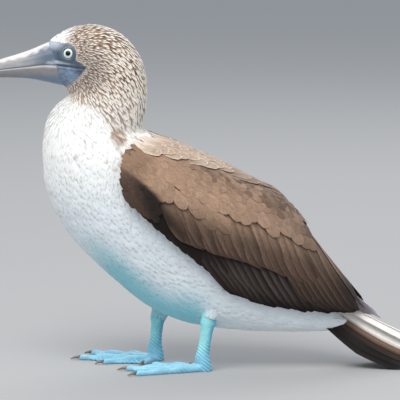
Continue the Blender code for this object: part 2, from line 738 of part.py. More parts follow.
def make_foot(name, leg, ankle, shank):
    """Four toes joined by a web, with claws, a heel pad and the ankle that the tarsus meets."""
    side = leg["side"]
    heel = Vector((ankle.x + 0.002, ankle.y, 0))
    pieces, tips = [], []
    for n, (outward_angle, length, root, tip) in enumerate(TOES):
        a = math.radians(outward_angle + leg["heading"])
        run = Vector((-math.cos(a), side * math.sin(a), 0))
        path, sizes = [], []
        for k in range(7):
            t = k / 6
            knuckle = 1.0 + 0.16 * math.cos(3 * 2 * math.pi * t)
            size = (root + (tip - root) * t) * knuckle
            path.append(heel + run * (length * t) + Vector((0, 0, size * 0.72)))
            sizes.append(size)
        pieces.append(tube(f"toe_{n}", path, sizes, sizes, sides=8, floor=0.0))
        end = heel + run * length
        claw = [end + run * (CLAW_LENGTH * s) + Vector((0, 0, h)) for s, h in
                ((-0.3, 0.0026), (0.2, 0.0030), (0.65, 0.0024), (1.0, 0.0010))]
        pieces.append(tube(f"claw_{n}", claw, [0.0022, 0.0018, 0.0011, 0.0003],
                           [0.0022, 0.0018, 0.0011, 0.0003], sides=6, floor=0.0))
        tips.append(end - run * 0.004)
    rim = []
    for a, b in zip(tips, tips[1:]):
        middle = (a + b) / 2
        rim.append(a)
        for u in (0.25, 0.5, 0.75):
            straight = a.lerp(b, u)
            pull = 1 - (1 - WEB_SCALLOP) * math.sin(math.pi * u)
            rim.append(heel + (straight - heel) * pull)
    rim.append(tips[-1])
    outline = [heel + Vector((0.004, 0, 0))] + rim
    low = [p + Vector((0, 0, WEB_LIFT)) for p in outline]
    high = [p + Vector((0, 0, WEB_LIFT + WEB_THICKNESS)) for p in outline]
    count = len(outline)
    faces = [(0, k, k + 1) for k in range(1, count - 1)]
    faces += [(count, count + k + 1, count + k) for k in range(1, count - 1)]
    for k in range(count):
        j = (k + 1) % count
        faces += [(k, j, count + j), (k, count + j, count + k)]
    pieces.append(outward(mesh_object("web", low + high, faces)))
    top = ankle - shank * GAP
    path = [Vector((heel.x, heel.y, 0)), Vector((heel.x, heel.y, 0.005)),
            top - shank * 0.005, top]
    base = tube("foot_" + name, path,
                [HEEL_RADIUS, HEEL_RADIUS, TARSUS_FRONT * 1.06, TARSUS_FRONT],
                [HEEL_RADIUS * 0.85, HEEL_RADIUS * 0.85, TARSUS_FRONT * TARSUS_FLATNESS * 1.1,
                 TARSUS_FRONT * TARSUS_FLATNESS], sides=14, up=Vector((0, 1, 0)))
    fuse(base, pieces, [], "foot_blue")


def ridge_point(t):
    """Point of the tail's ridge at t of its length."""
    flat = blend(TAIL_RIDGE, t)
    return Vector((flat.x, 0, flat.y))


def tail_block(name, grow):
    """The covert-covered root of the tail, going on from the torso's last section."""
    end_row = TORSO_SECTIONS[-1]
    away = -section_normal(end_row)
    centre = Vector(((end_row[0] + end_row[2]) / 2, 0, (end_row[1] + end_row[3]) / 2))
    rings = []
    for shrink, ahead in TAIL_BLOCK_RINGS:
        ring = []
        target = ridge_point(ahead) - Vector((0, 0, TAIL_BLOCK_DROP))
        for j in range(SIDES):
            p = section_point(end_row, 2 * math.pi * j / SIDES, SECTION_POWER, grow)
            if ahead:
                ring.append(target + (p - centre) * shrink)
            else:
                ring.append(p + away * (GAP - grow))
        rings.append(ring)
    points, faces = loft(rings)
    return outward(mesh_object(name, points, faces))


def make_tail(draw):
    """Rectrices in a roof on the tail's root block."""
    block = tail_block("tail", 0.0)
    vanes = []
    for side in (-1, 1):
        for n in range(RECTRICES):
            share = n / (RECTRICES - 1)
            reach = 1.0 - (1.0 - RECTRIX_REACH) * share ** 1.3 + draw.uniform(-0.01, 0.01)
            frames = []
            for k in range(6):
                t = k / 5
                along = RECTRIX_ROOT + (reach - RECTRIX_ROOT) * t
                pitch = TAIL_PITCH[0] + (TAIL_PITCH[1] - TAIL_PITCH[0]) * along
                pitch = math.radians(pitch if n else MIDDLE_PITCH)
                fan = 0.55 + 0.45 * min(1.0, t * 1.6)
                slope = Vector((0, side * math.cos(pitch), -math.sin(pitch)))
                ahead = (ridge_point(min(1.0, along + 0.02))
                         - ridge_point(along - 0.02)).normalized()
                face = slope.cross(ahead) * side
                if face.z < 0:
                    face = -face
                offset = (RECTRIX_WIDTH * 0.30 + RECTRIX_STEP * n) * fan
                centre = ridge_point(along) + slope * offset - face * (RECTRIX_DROP * (n + 0.6))
                frames.append((t, (centre, slope * side, face)))
            vanes.append(vane_mesh(f"rectrix_{side}_{n}", frames,
                                   RECTRIX_WIDTH * draw.uniform(0.96, 1.04), VANE_THICKNESS))
    floor = box("floor_clearance", (0.0, -0.2, -0.1), (0.5, 0.2, FLOOR_CLEARANCE))
    return fuse(block, vanes, [floor], "tail_brown")


def tail_clearance():
    """The room that the tail's roof takes, a little larger than the tail itself."""
    rings = []
    for k in range(7):
        t = -0.06 + 0.66 * k / 6
        pitch = math.radians(TAIL_PITCH[0] + (TAIL_PITCH[1] - TAIL_PITCH[0]) * max(0.0, t))
        top = ridge_point(t) + Vector((0, 0, TAIL_ROOM))
        ring = []
        for share, side in ((1, -1), (0.5, -1), (0.12, -1), (0.12, 1), (0.5, 1), (1, 1)):
            reach = share * TAIL_HALF_ROOM
            ring.append(top + Vector((0, side * math.cos(pitch), 0)) * reach
                        - Vector((0, 0, math.sin(pitch))) * (reach - 0.12 * TAIL_HALF_ROOM))
        ring += [Vector((p.x, p.y, p.z - 0.05)) for p in (ring[-1], ring[0])]
        rings.append(ring)
    points, faces = loft(rings)
    return outward(mesh_object("tail_clearance", points, faces))


def make_wings():
    """Both wings, each one body of core and vanes, cut clear of torso and midline."""
    tree = contour_tree()
    for side, name in ((-1, "left"), (1, "right")):
        draw = random.Random(SEED + side)
        core = wing_core(tree, side)
        core.name = "wing_" + name
        vanes = []
        for tier in TIERS:
            vanes += tier_vanes(tree, tier, side, draw)
        if side < 0:
            across = box("across", (-0.4, -MIDLINE_GAP / 2, -0.1), (0.4, 0.3, 0.6))
        else:
            across = box("across", (-0.4, -0.3, -0.1), (0.4, MIDLINE_GAP / 2, 0.6))
        cutters = [torso_cutter(GAP), across, tail_clearance(), tail_block("block_room", 0.001)]
        fuse(core, vanes, cutters, "wing_brown")


def centre_on_floor():
    """Move all pieces so that the origin is the bottom centre of the bird's box."""
    bpy.context.view_layer.update()
    corners = [v.co for item in bpy.data.objects for v in item.data.vertices]
    x = (min(c.x for c in corners) + max(c.x for c in corners)) / 2
    y = (min(c.y for c in corners) + max(c.y for c in corners)) / 2
    z = min(c.z for c in corners)
    for item in bpy.data.objects:
        item.data.transform(Matrix.Translation((-x, -y, -z)))
        item.data.update()


def main():
    """Build every piece of the bird."""
    clear_scene()
    make_body()
    make_bill()
    for name, leg in LEGS.items():
        make_leg(name, leg)
    make_wings()
    make_tail(random.Random(SEED))
    centre_on_floor()


main()
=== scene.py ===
"""Looks of a life-size blue-footed booby, standing at rest as a still museum model.

Metres, +Z up. The bird faces -X and its left side is at -Y. One skin carries the flesh, small
feathers lie over it in overlapping rows, and the wings and tail are tiers of larger feathers.
"""

import logging
import math
from collections.abc import Callable
from dataclasses import dataclass, field, replace
from enum import Enum

import bmesh
import bpy
import numpy as np
from bpy.types import ID, Material, Mesh, Node, NodeSocket, NodeTree, Object, bpy_prop_collection
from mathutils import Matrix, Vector, kdtree, noise
from numpy.polynomial import Polynomial

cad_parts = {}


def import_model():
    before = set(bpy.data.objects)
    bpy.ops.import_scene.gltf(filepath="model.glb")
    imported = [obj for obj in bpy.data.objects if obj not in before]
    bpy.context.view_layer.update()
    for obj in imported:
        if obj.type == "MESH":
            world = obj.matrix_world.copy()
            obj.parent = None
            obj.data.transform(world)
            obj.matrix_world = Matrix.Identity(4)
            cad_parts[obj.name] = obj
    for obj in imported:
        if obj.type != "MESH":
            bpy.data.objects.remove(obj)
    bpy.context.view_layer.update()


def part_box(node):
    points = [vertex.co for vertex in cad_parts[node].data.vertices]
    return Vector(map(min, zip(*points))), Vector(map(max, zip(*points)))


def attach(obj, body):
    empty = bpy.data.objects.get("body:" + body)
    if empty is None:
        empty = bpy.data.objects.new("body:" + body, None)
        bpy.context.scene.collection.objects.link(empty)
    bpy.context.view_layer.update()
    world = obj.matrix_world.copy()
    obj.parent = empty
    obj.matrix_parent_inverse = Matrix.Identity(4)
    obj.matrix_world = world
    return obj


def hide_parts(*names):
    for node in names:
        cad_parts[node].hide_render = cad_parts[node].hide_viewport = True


Array = np.ndarray
Draw = np.random.Generator
Row = tuple[float, ...]
Pair = tuple[float, float]
Triple = tuple[float, float, float]
Field = Callable[[Array, Array, Array], Array]
LOG = logging.getLogger("booby")
BODY = "root"
UP = np.array([0.0, 0.0, 1.0])
VIEW_MIDDLE = (-0.00575, 0.0, 0.1927)
SIDES = ((-1, "left"), (1, "right"))
# The unit of the side view that colours are placed by, in metres across and up, its origin, and
# the slope of the line of sight.
UNIT_X, UNIT_Z = 0.00115, 0.001161
ORIGIN_X, ORIGIN_Z = 205, 366
SIGHT_SLOPE = 0.1405
# The feathers' places on the OFBake map: its margin, the share it covers, and a feather's patch.
MAP_MARGIN, MAP_SHARE, MAP_PATCH = 0.02, 0.96, 0.003

# Body sections, from the bill's base to the tail's root, as in the solids: back x, z, front x, z,
# half width, egg.
HEAD_SECTIONS = [
    (-0.1794, 0.3758, -0.1616, 0.3257, 0.0165, 0.10),
    (-0.1690, 0.3846, -0.1596, 0.3233, 0.0190, 0.14),
    (-0.1552, 0.3916, -0.1580, 0.3210, 0.0222, 0.12),
    (-0.1391, 0.3952, -0.1569, 0.3189, 0.0252, 0.08),
    (-0.1242, 0.3955, -0.1562, 0.3173, 0.0276, 0.04),
    (-0.1092, 0.3915, -0.1562, 0.3156, 0.0298, 0.00),
    (-0.0954, 0.3841, -0.1572, 0.3139, 0.0318, 0.00),
    (-0.0816, 0.3698, -0.1593, 0.3120, 0.0335, 0.00),
]
NECK_SECTIONS = [
    (-0.0719, 0.3518, -0.1627, 0.3093, 0.0350, 0.00),
    (-0.0672, 0.3320, -0.1679, 0.3051, 0.0372, 0.00),
    (-0.0667, 0.3123, -0.1734, 0.2990, 0.0398, 0.02),
    (-0.0690, 0.2937, -0.1791, 0.2902, 0.0435, 0.04),
    (-0.0724, 0.2768, -0.1833, 0.2786, 0.0480, 0.05),
]
TORSO_SECTIONS = [
    (-0.0640, 0.2712, -0.1863, 0.2589, 0.0530, 0.05),
    (-0.0517, 0.2641, -0.1865, 0.2392, 0.0578, 0.04),
    (-0.0310, 0.2560, -0.1846, 0.2148, 0.0615, 0.03),
    (-0.0092, 0.2456, -0.1771, 0.1904, 0.0638, 0.02),
    (0.0126, 0.2355, -0.1662, 0.1683, 0.0650, 0.00),
    (0.0345, 0.2215, -0.1495, 0.1451, 0.0650, 0.00),
    (0.0552, 0.2035, -0.1276, 0.1225, 0.0637, 0.00),
    (0.0748, 0.1840, -0.1000, 0.0975, 0.0607, 0.00),
    (0.0920, 0.1625, -0.0667, 0.0708, 0.0558, 0.00),
    (0.1069, 0.1385, -0.0287, 0.0534, 0.0490, 0.02),
    (0.1219, 0.1135, 0.0115, 0.0453, 0.0410, 0.04),
    (0.1357, 0.0905, 0.0540, 0.0412, 0.0325, 0.06),
    (0.1495, 0.0735, 0.0977, 0.0401, 0.0245, 0.08),
    (0.1590, 0.0600, 0.1345, 0.0406, 0.0165, 0.08),
]
# The covert-covered root of the tail goes on from the torso.
RUMP_SECTIONS = [
    (0.1660, 0.0560, 0.1470, 0.0425, 0.0120, 0.08),
    (0.1710, 0.0530, 0.1560, 0.0450, 0.0080, 0.05),
    (0.1745, 0.0505, 0.1630, 0.0470, 0.0035, 0.00),
]
CONTOUR_BACKS = [
    (-0.0640, 0.2725, 0.0545),
    (-0.0517, 0.2652, 0.0640),
    (-0.0310, 0.2575, 0.0712),
    (-0.0092, 0.2475, 0.0752),
    (0.0126, 0.2385, 0.0775),
    (0.0345, 0.2270, 0.0780),
    (0.0563, 0.2154, 0.0765),
    (0.0770, 0.2055, 0.0730),
    (0.0954, 0.1904, 0.0675),
    (0.1127, 0.1718, 0.0600),
    (0.1299, 0.1463, 0.0515),
    (0.1488, 0.1218, 0.0430),
    (0.1672, 0.0968, 0.0350),
    (0.1812, 0.0705, 0.0270),
]
CONTOUR_END = (0.1960, 0.0590, 0.1640, 0.0360, 0.0210, 0.0)
CONTOUR_TIP = (0.2120, 0.0500, 0.1900, 0.0380, 0.0160, 0.0)
# The far wing reaches further back over the tail.
FAR_BACKS = [
    (0.1478, 0.1200, 0.0420), (0.1664, 0.0985, 0.0345), (0.1810, 0.0825, 0.0270),
]
FAR_END = (0.1965, 0.0700, 0.1640, 0.0360, 0.0230, 0.0)
FAR_TIP = (0.2080, 0.0565, 0.1900, 0.0380, 0.0170, 0.0)
SECTION_POWER = 2.15
TAIL_ROOT_X = 0.1621
BILL_SECTIONS = [
    (-0.1794, 0.3758, -0.1616, 0.3257, 0.0165, 0.50),
    (-0.1950, 0.3687, -0.1800, 0.3298, 0.0143, 0.46),
    (-0.2120, 0.3625, -0.2035, 0.3340, 0.0118, 0.50),
    (-0.2358, 0.3553, -0.2330, 0.3350, 0.0088, 0.51),
    (-0.2580, 0.3483, -0.2570, 0.3352, 0.0062, 0.49),
    (-0.2740, 0.3430, -0.2738, 0.3356, 0.0040, 0.48),
    (-0.2830, 0.3385, -0.2830, 0.3352, 0.0018, 0.48),
]
EYE_SPOT = (-0.1581, 0.3650)
# Bare skin of face and throat in side view, x, z.
BARE_OUTLINE = [
    (-0.1850, 0.3850), (-0.1800, 0.3772), (-0.1730, 0.3768), (-0.1650, 0.3762),
    (-0.1560, 0.3752), (-0.1500, 0.3725), (-0.1478, 0.3680), (-0.1480, 0.3620),
    (-0.1490, 0.3583), (-0.1440, 0.3556), (-0.1362, 0.3498), (-0.1420, 0.3420),
    (-0.1490, 0.3350), (-0.1535, 0.3308), (-0.1585, 0.3278), (-0.1640, 0.3258), (-0.1900, 0.3150),
    (-0.2200, 0.3200), (-0.2200, 0.3900),
]
# The mouth's line in side view.
MOUTH_X = (-0.1800, -0.1705, -0.1600, -0.1500, -0.1365)
MOUTH_Z = (0.3512, 0.3508, 0.3500, 0.3492, 0.3478)
# The lower edge of the wing's panel of coverts in side view.
PANEL_X = (-0.0840, -0.070, -0.054, -0.040, -0.009, 0.037, 0.083, 0.110)
PANEL_Z = (0.248, 0.232, 0.213, 0.208, 0.197, 0.184, 0.168, 0.160)
# The closed wing in side view, under which the body's feathers are left out.
WING_OUTLINE = [
    (-0.0995, 0.2640), (-0.1001, 0.2374), (-0.0961, 0.2165), (-0.0892, 0.2037),
    (-0.0754, 0.1875), (-0.0627, 0.1747), (-0.0478, 0.1608), (-0.0305, 0.1468),
    (-0.0075, 0.1375), (0.0235, 0.0981), (0.0499, 0.0865), (0.0936, 0.0749),
    (0.1546, 0.0702), (0.1776, 0.0737), (0.1534, 0.1271), (0.1166, 0.1712),
    (0.0902, 0.1968), (0.0499, 0.2235), (-0.0075, 0.2467), (-0.0650, 0.2700),
]
# The coat's lie in side view: x, z, and the slope of the feathers below the horizontal in degrees.
LIE = [
    (-0.1714, 0.3808, -32), (-0.1495, 0.3866, -12), (-0.1265, 0.3913, 0), (-0.1035, 0.3843, 25),
    (-0.0863, 0.3669, 50), (-0.0748, 0.3483, 68), (-0.0690, 0.3204, 85), (-0.0713, 0.2949, 92),
    (-0.1380, 0.3727, 6), (-0.1265, 0.3611, 14), (-0.1116, 0.3529, 30), (-0.0955, 0.3378, 50),
    (-0.0840, 0.3204, 65), (-0.1438, 0.3529, 12), (-0.1300, 0.3437, 18), (-0.1208, 0.3320, 42),
    (-0.1070, 0.3146, 54), (-0.0955, 0.2972, 60), (-0.0863, 0.2798, 62), (-0.1495, 0.3320, 50),
    (-0.1530, 0.3181, 76), (-0.1622, 0.3065, 98), (-0.1760, 0.2914, 108), (-0.1840, 0.2682, 100),
    (-0.1668, 0.2798, 88), (-0.1438, 0.2972, 68), (-0.1265, 0.2798, 68), (-0.1093, 0.2682, 70),
    (-0.1863, 0.2334, 92), (-0.1668, 0.2334, 86), (-0.1323, 0.2334, 76), (-0.1035, 0.2334, 76),
    (-0.1783, 0.1927, 80), (-0.1495, 0.1811, 68), (-0.1093, 0.1753, 60), (-0.1645, 0.1637, 60),
    (-0.1323, 0.1289, 48), (-0.0978, 0.0998, 40), (-0.0633, 0.0708, 30), (-0.0173, 0.0557, 12),
    (-0.0633, 0.1231, 45), (-0.0173, 0.0940, 32), (0.0403, 0.0650, 12), (0.1093, 0.0511, 6),
    (0.1553, 0.0557, 14), (-0.0690, 0.2682, 50), (-0.0518, 0.2624, 25), (-0.0058, 0.2450, 22),
]


def srgb(red: float, green: float, blue: float) -> Array:
    """Linear colour of an 8-bit display colour.

    Args:
        red, green, blue: channels from 0 to 255.

    Returns:
        Three linear values.
    """
    c = np.array([red, green, blue], float) / 255
    return np.where(c <= 0.04045, c / 12.92, ((c + 0.055) / 1.055) ** 2.4)


def smooth(low: float, high: float, x: Array) -> Array:
    """Smooth step from 0 at low to 1 at high."""
    s = np.clip((x - low) / (high - low), 0, 1)
    return s * s * (3 - 2 * s)


def mix(a: Array, b: Array, share: Array) -> Array:
    """Blend of two colours, or arrays of colours, by a share of the second."""
    s = np.asarray(share)[..., None]
    return a * (1 - s) + b * s


def layered(base: Array, *coats: tuple[Array, Array]) -> Array:
    """A colour with others laid over it in turn, each by its share."""
    for colour, share in coats:
        base = mix(base, colour, share)
    return base


def catmull(rows: Array, t: Array) -> Array:
    """Catmull-Rom value of rows at each t.

    Args:
        rows: values, one row at each whole t.
        t: places along the rows.

    Returns:
        One row for each t.
    """
    last = len(rows) - 1
    t = np.clip(t, 0, last - 1e-9)
    i = t.astype(int)
    f = (t - i)[:, None]
    p0, p1, p2, p3 = (rows[np.clip(i + k, 0, last)] for k in (-1, 0, 1, 2))
    return 0.5 * (2 * p1 + (p2 - p0) * f + (2 * p0 - 5 * p1 + 4 * p2 - p3) * f ** 2
                  + (3 * p1 - p0 - 3 * p2 + p3) * f ** 3)


def unit(v: Array) -> Array:
    """Vectors scaled to length 1."""
    return v / np.maximum(np.linalg.norm(v, axis=-1, keepdims=True), 1e-12)


def inside(outline: list[Pair], x: Array, z: Array) -> Array:
    """Whether each point of the side view lies in a closed outline."""
    found = np.zeros(x.shape, bool)
    for (x0, z0), (x1, z1) in zip(outline, outline[1:] + outline[:1]):
        crosses = (z0 > z) != (z1 > z)
        found ^= crosses & (x < (x1 - x0) * (z - z0) / ((z1 - z0) or 1e-12) + x0)
    return found


def edge_distance(outline: list[Pair], x: Array, z: Array) -> Array:
    """Distance from each point of the side view to an outline."""
    best = np.full(x.shape, np.inf)
    for (x0, z0), (x1, z1) in zip(outline, outline[1:] + outline[:1]):
        dx, dz = x1 - x0, z1 - z0
        s = np.clip(((x - x0) * dx + (z - z0) * dz) / (dx * dx + dz * dz + 1e-18), 0, 1)
        best = np.minimum(best, np.hypot(x - x0 - s * dx, z - z0 - s * dz))
    return best


def bare_distance(x: Array, z: Array) -> Array:
    """Distance in side view to the edge of the bare face, negative inside it."""
    away = edge_distance(BARE_OUTLINE, x, z)
    return np.where(inside(BARE_OUTLINE, x, z), -away, away)


def turned(ahead: Array, normal: Array, spin: Array) -> Array:
    """Directions along a surface, each turned about its normal."""
    return ahead * np.cos(spin)[:, None] + np.cross(normal, ahead) * np.sin(spin)[:, None]


def circle(count: int) -> Array:
    """Equal angles round a full turn."""
    return np.linspace(0, 2 * math.pi, count, endpoint=False)


def through(points: tuple[Pair, ...], s: Array) -> Array:
    """Places at s of a curve that meets three given points at 0, 0.5 and 1."""
    weights = np.stack([2 * (s - 0.5) * (s - 1), 4 * s * (1 - s), 2 * s * (s - 0.5)], -1)
    return weights @ np.array(points)


class Form:
    """A closed surface through planar sections, read by section t and angle a round it."""

    def __init__(self, rows: list[Row], shift: Vector) -> None:
        """Keep the sections, with a seventh value, their middle's y, added where it lacks."""
        self.rows = np.array([tuple(r) + (0.0,) * (7 - len(r)) for r in rows], float)
        self.shift = np.array(shift, float)
        self.last = len(rows) - 1.0

    def at(self, t: Array, a: Array, grow: Array | float = 0.0) -> Array:
        """Points of the surface, moved out by grow."""
        shape = np.broadcast(t, a).shape
        t, a, g = (np.broadcast_to(v, shape).ravel() for v in (t, a, grow))
        row = catmull(self.rows, t)
        half = (row[:, 0:2] - row[:, 2:4]) / 2
        middle = (row[:, 0:2] + row[:, 2:4]) / 2
        reach = np.maximum(np.linalg.norm(half, axis=1), 1e-9)
        s, c = np.sin(a), np.cos(a)
        power = 2 / SECTION_POWER
        up = np.sign(s) * np.abs(s) ** power
        out = np.sign(c) * np.abs(c) ** power * (1 - row[:, 5] * up)
        flat = middle + half / reach[:, None] * (up * (reach + g))[:, None]
        y = row[:, 6] - out * (row[:, 4] + g)
        return np.stack([flat[:, 0], y, flat[:, 1]], 1).reshape(*shape, 3) + self.shift

    def side(self, points: Array) -> tuple[Array, Array]:
        """The x and z of points in the body's own side view."""
        return points[..., 0] - self.shift[0], points[..., 2]

    def slopes(self, t: Array, a: Array) -> tuple[Array, Array, Array]:
        """Change of the point with t and with a, and the outward normal."""
        low, high = np.clip(t - 0.02, 0, self.last), np.clip(t + 0.02, 0, self.last)
        by_t = (self.at(high, a) - self.at(low, a)) / (high - low)[..., None]
        by_a = (self.at(t, a + 0.03) - self.at(t, a - 0.03)) / 0.06
        return by_t, by_a, unit(np.cross(by_t, by_a))

    def turn(self, t: Array, a: Array, way: Array) -> tuple[Array, Array]:
        """Changes of t and a that move a point by a vector along the surface."""
        by_t, by_a, _ = self.slopes(t, a)
        tt, aa, ta = ((u * v).sum(-1) for u, v in ((by_t, by_t), (by_a, by_a), (by_t, by_a)))
        wt, wa = (by_t * way).sum(-1), (by_a * way).sum(-1)
        det = np.maximum(tt * aa - ta * ta, 1e-12)
        return (wt * aa - wa * ta) / det, (wa * tt - wt * ta) / det

    def find(self, xs: Array, zs: Array) -> tuple[Array, Array]:
        """Left-side places that lie nearest to given points of the side view."""
        t = np.linspace(0, self.last, 500)
        a = np.radians(np.linspace(-90, 90, 181))
        grid = self.at(*np.meshgrid(t, a, indexing="ij"))
        found = []
        for x, z in zip(xs, zs):
            gap = (grid[..., 0] - x - self.shift[0]) ** 2 + (grid[..., 2] - z) ** 2
            found.append(np.unravel_index(gap.argmin(), gap.shape))
        i, j = np.array(found).T
        return t[i], a[j]

    def scatter(self, spacing: Field, draw: Draw,
                start: float = 0.0,
                slim: Callable[[Array], Array] | None = None) -> tuple[Array, Array]:
        """Places spread evenly over the surface.

        Args:
            spacing: gives the distance kept at (t, a, point), or a negative one for none there.
            draw: the source of random values.
            start: where along the form the places begin.
            slim: gives at t the distance across the coat's lie as a share of the one along it.

        Returns:
            The t and the a of each place.
        """
        ts, angles = np.linspace(start, self.last, 241), np.linspace(0, 2 * math.pi, 181)
        corner = self.at(*np.meshgrid(ts, angles, indexing="ij"))
        edge_t, edge_a = corner[1:, :-1] - corner[:-1, :-1], corner[:-1, 1:] - corner[:-1, :-1]
        area = np.linalg.norm(np.cross(edge_t, edge_a), axis=-1).ravel()
        i, j = np.divmod(np.arange(area.size), len(angles) - 1)
        mid_t, mid_a = ts[i] + (ts[1] - ts[0]) / 2, angles[j] + (angles[1] - angles[0]) / 2
        keep = spacing(mid_t, mid_a, self.at(mid_t, mid_a))
        narrow = slim(mid_t) if slim else 1.0
        weight = np.where(keep > 0, area / np.maximum(keep, 1e-5) ** 2 / narrow, 0)
        count = int(weight.sum() * 5)
        cell = draw.choice(area.size, count, p=weight / weight.sum())
        t = ts[i[cell]] + draw.random(count) * (ts[1] - ts[0])
        a = angles[j[cell]] + draw.random(count) * (angles[1] - angles[0])
        points = self.at(t, a)
        keep = spacing(t, a, points)
        tree = kdtree.KDTree(count)
        for n, p in enumerate(points):
            tree.insert(p, n)
        tree.balance()
        gone = keep <= 0
        chosen = []
        narrow = slim(t) if slim else np.ones(count)
        lie = lie_at(points, self.shift) if slim else np.zeros((count, 3))
        for n in range(count):
            if gone[n]:
                continue
            chosen.append(n)
            near = np.array([m for _, m, _ in tree.find_range(points[n], keep[n])])
            apart = points[near] - points[n]
            along = (apart @ lie[n]) ** 2
            across = (apart ** 2).sum(1) - along
            gone[near[along + across / narrow[n] ** 2 < keep[n] ** 2]] = True
        return t[chosen], a[chosen]


@dataclass(frozen=True)
class Vane:
    """Outline and section of one kind of feather."""

    stations: int
    columns: Row
    outline: tuple[Pair, ...]
    tip_cut: float = 0.10
    tip_power: float = 2.4
    camber: float = 0.10

    def width(self, u: Array) -> Array:
        """Share of the full width at u of the length."""
        return np.interp(u, [p[0] for p in self.outline], [p[1] for p in self.outline])


def lie_at(points: Array, shift: Array) -> Array:
    """Way the coat's feathers run at each point, from the nearest entries of the lie's table."""
    table = np.array(LIE, float)
    gap = ((points[:, None, 0] - shift[0] - table[None, :, 0]) ** 2
           + (points[:, None, 2] - table[None, :, 1]) ** 2)
    weight = (gap + 0.000025) ** -1.6
    slope = np.radians(table[:, 2])
    x, z = (weight * np.cos(slope)).sum(1), -(weight * np.sin(slope)).sum(1)
    return unit(np.stack([x, np.zeros_like(x), z], 1))


class Kind(Enum):
    """The kinds of feather on the bird."""

    STREAK = Vane(7, (-1, -0.5, 0, 0.5, 1),
                  ((0, 0.6), (0.25, 1.0), (0.43, 0.92), (0.57, 0.66), (0.72, 0.58), (0.86, 0.42),
                   (1, 0.04)), 0.02, 2.0, 0.16)
    DOWN = Vane(6, (-1, -0.55, 0, 0.55, 1),
                ((0, 0.5), (0.4, 0.95), (0.66, 1.0), (0.85, 0.90), (1, 0.50)), 0.22, 1.9, 0.12)
    COVERT = Vane(10, (-1, -0.8, -0.4, 0, 0.4, 0.8, 1),
                  ((0, 0.45), (0.3, 0.85), (0.6, 1.0), (0.8, 0.93), (0.9, 0.74), (1, 0.12)),
                  0.0, 2.0, 0.04)
    FLIGHT = Vane(14, (-1, -0.9, -0.5, -0.06, 0.06, 0.5, 0.9, 1),
                  ((0, 0.5), (0.25, 0.8), (0.6, 1.0), (0.85, 0.92), (0.95, 0.70), (1, 0.32)),
                  0.035, 2.0, 0.05)


@dataclass
class Laid:
    """Feathers laid on a form, before they are meshed."""

    vane: Vane
    points: Array
    u: Array
    v: Array
    length: Array
    width: Array
    spot: Array
    draw: Array
    colours: Array | None = None


def march(form: Form, t: Array, a: Array, length: Array, steps: int,
          heading: Field) -> tuple[Array, Array]:
    """Paths that follow a lie over the surface.

    Args:
        form: the surface.
        t, a: where the paths start.
        length: the length of each path.
        steps: the number of equal steps.
        heading: gives the way on at (points, by_t, normal).

    Returns:
        The t and the a of every path point.
    """
    ts, angles = [t], [a]
    for _ in range(steps):
        by_t, _, normal = form.slopes(t, a)
        way = heading(form.at(t, a), by_t, normal)
        way = unit(way - normal * (way * normal).sum(-1, keepdims=True))
        dt, da = form.turn(t, a, way * (length / steps)[:, None])
        t = np.clip(t + np.clip(dt, -0.5, 0.5), 0, form.last)
        a = a + np.clip(da, -0.3, 0.3)
        ts.append(t)
        angles.append(a)
    return np.stack(ts, 1), np.stack(angles, 1)


def lay(form: Form, path_t: Array, path_a: Array, kind: Kind, width: Array,
        height: Callable[[Array], Array], roll: Array,
        draw: Draw) -> Laid:
    """Wrap feathers on a surface along their paths.

    Args:
        form: the surface.
        path_t, path_a: the path of each feather's shaft.
        kind: the feather's outline.
        width: the full width of each.
        height: height over the surface at u of the length, one column for each feather.
        roll: slope of each across its width.
        draw: the source of random values.

    Returns:
        The laid feathers.
    """
    vane = kind.value
    rows, v = vane.stations, np.array(vane.columns)
    steps = path_t.shape[1] - 1
    u = np.linspace(0, 1, rows + 1)[:, None] * (1 - vane.tip_cut * np.abs(v) ** vane.tip_power)
    place = u * steps
    i = np.minimum(place.astype(int), steps - 1)
    f = place - i
    centre_t = path_t[:, i] * (1 - f) + path_t[:, i + 1] * f
    centre_a = path_a[:, i] * (1 - f) + path_a[:, i + 1] * f
    line = form.at(path_t, path_a)
    ahead = unit(np.gradient(line, axis=1))
    normal = form.slopes(path_t, path_a)[2]
    side = unit(np.cross(ahead, normal))
    by_t, by_a = form.turn(path_t, path_a, side)
    near = np.rint(np.linspace(0, steps, rows + 1)).astype(int)
    half = vane.width(np.linspace(0, 1, rows + 1))[:, None] * v[None, :] / 2
    reach = half[None] * width[:, None, None]
    t = np.clip(centre_t + by_t[:, near][:, :, None] * reach, 0, form.last)
    a = centre_a + by_a[:, near][:, :, None] * reach
    lift = height(u.ravel()).reshape(len(width), *u.shape)
    lift = lift + roll[:, None, None] * reach
    lift = lift + vane.camber * (1 - v ** 2) * np.abs(width[:, None, None]) / 2
    out = normal[:, near][:, :, None]
    points = form.at(t, a) + out * lift[..., None]
    length = np.linalg.norm(np.diff(line, axis=1), axis=-1).sum(1)
    spot = np.stack([path_t[:, 0] / form.last, np.mod(path_a[:, 0], 2 * math.pi) / (2 * math.pi)], 1)
    return Laid(vane, points, np.broadcast_to(u, points.shape[:3]),
                np.broadcast_to(v, points.shape[:3]), length, width, spot, draw.random(len(width)))


def feather_faces(rows: int, columns: int) -> tuple[Array, Array, Array]:
    """Corners, corner counts and top marks of one closed feather."""
    corners, counts, top = [], [], []
    wide = columns + 1
    for i in range(rows):
        k = i * wide
        for j in range(k, k + columns):
            corners += [j, j + 1, j + 1 + wide, j + wide]
        corners += [k, k + wide, k + wide + columns, k + columns]
        counts += [4] * wide
        top += [True] * columns + [False]
    corners += list(range(wide - 1, -1, -1))
    corners += [rows * wide + j for j in range(wide)]
    return np.array(corners), np.array(counts + [wide, wide]), np.array(top + [False, False])


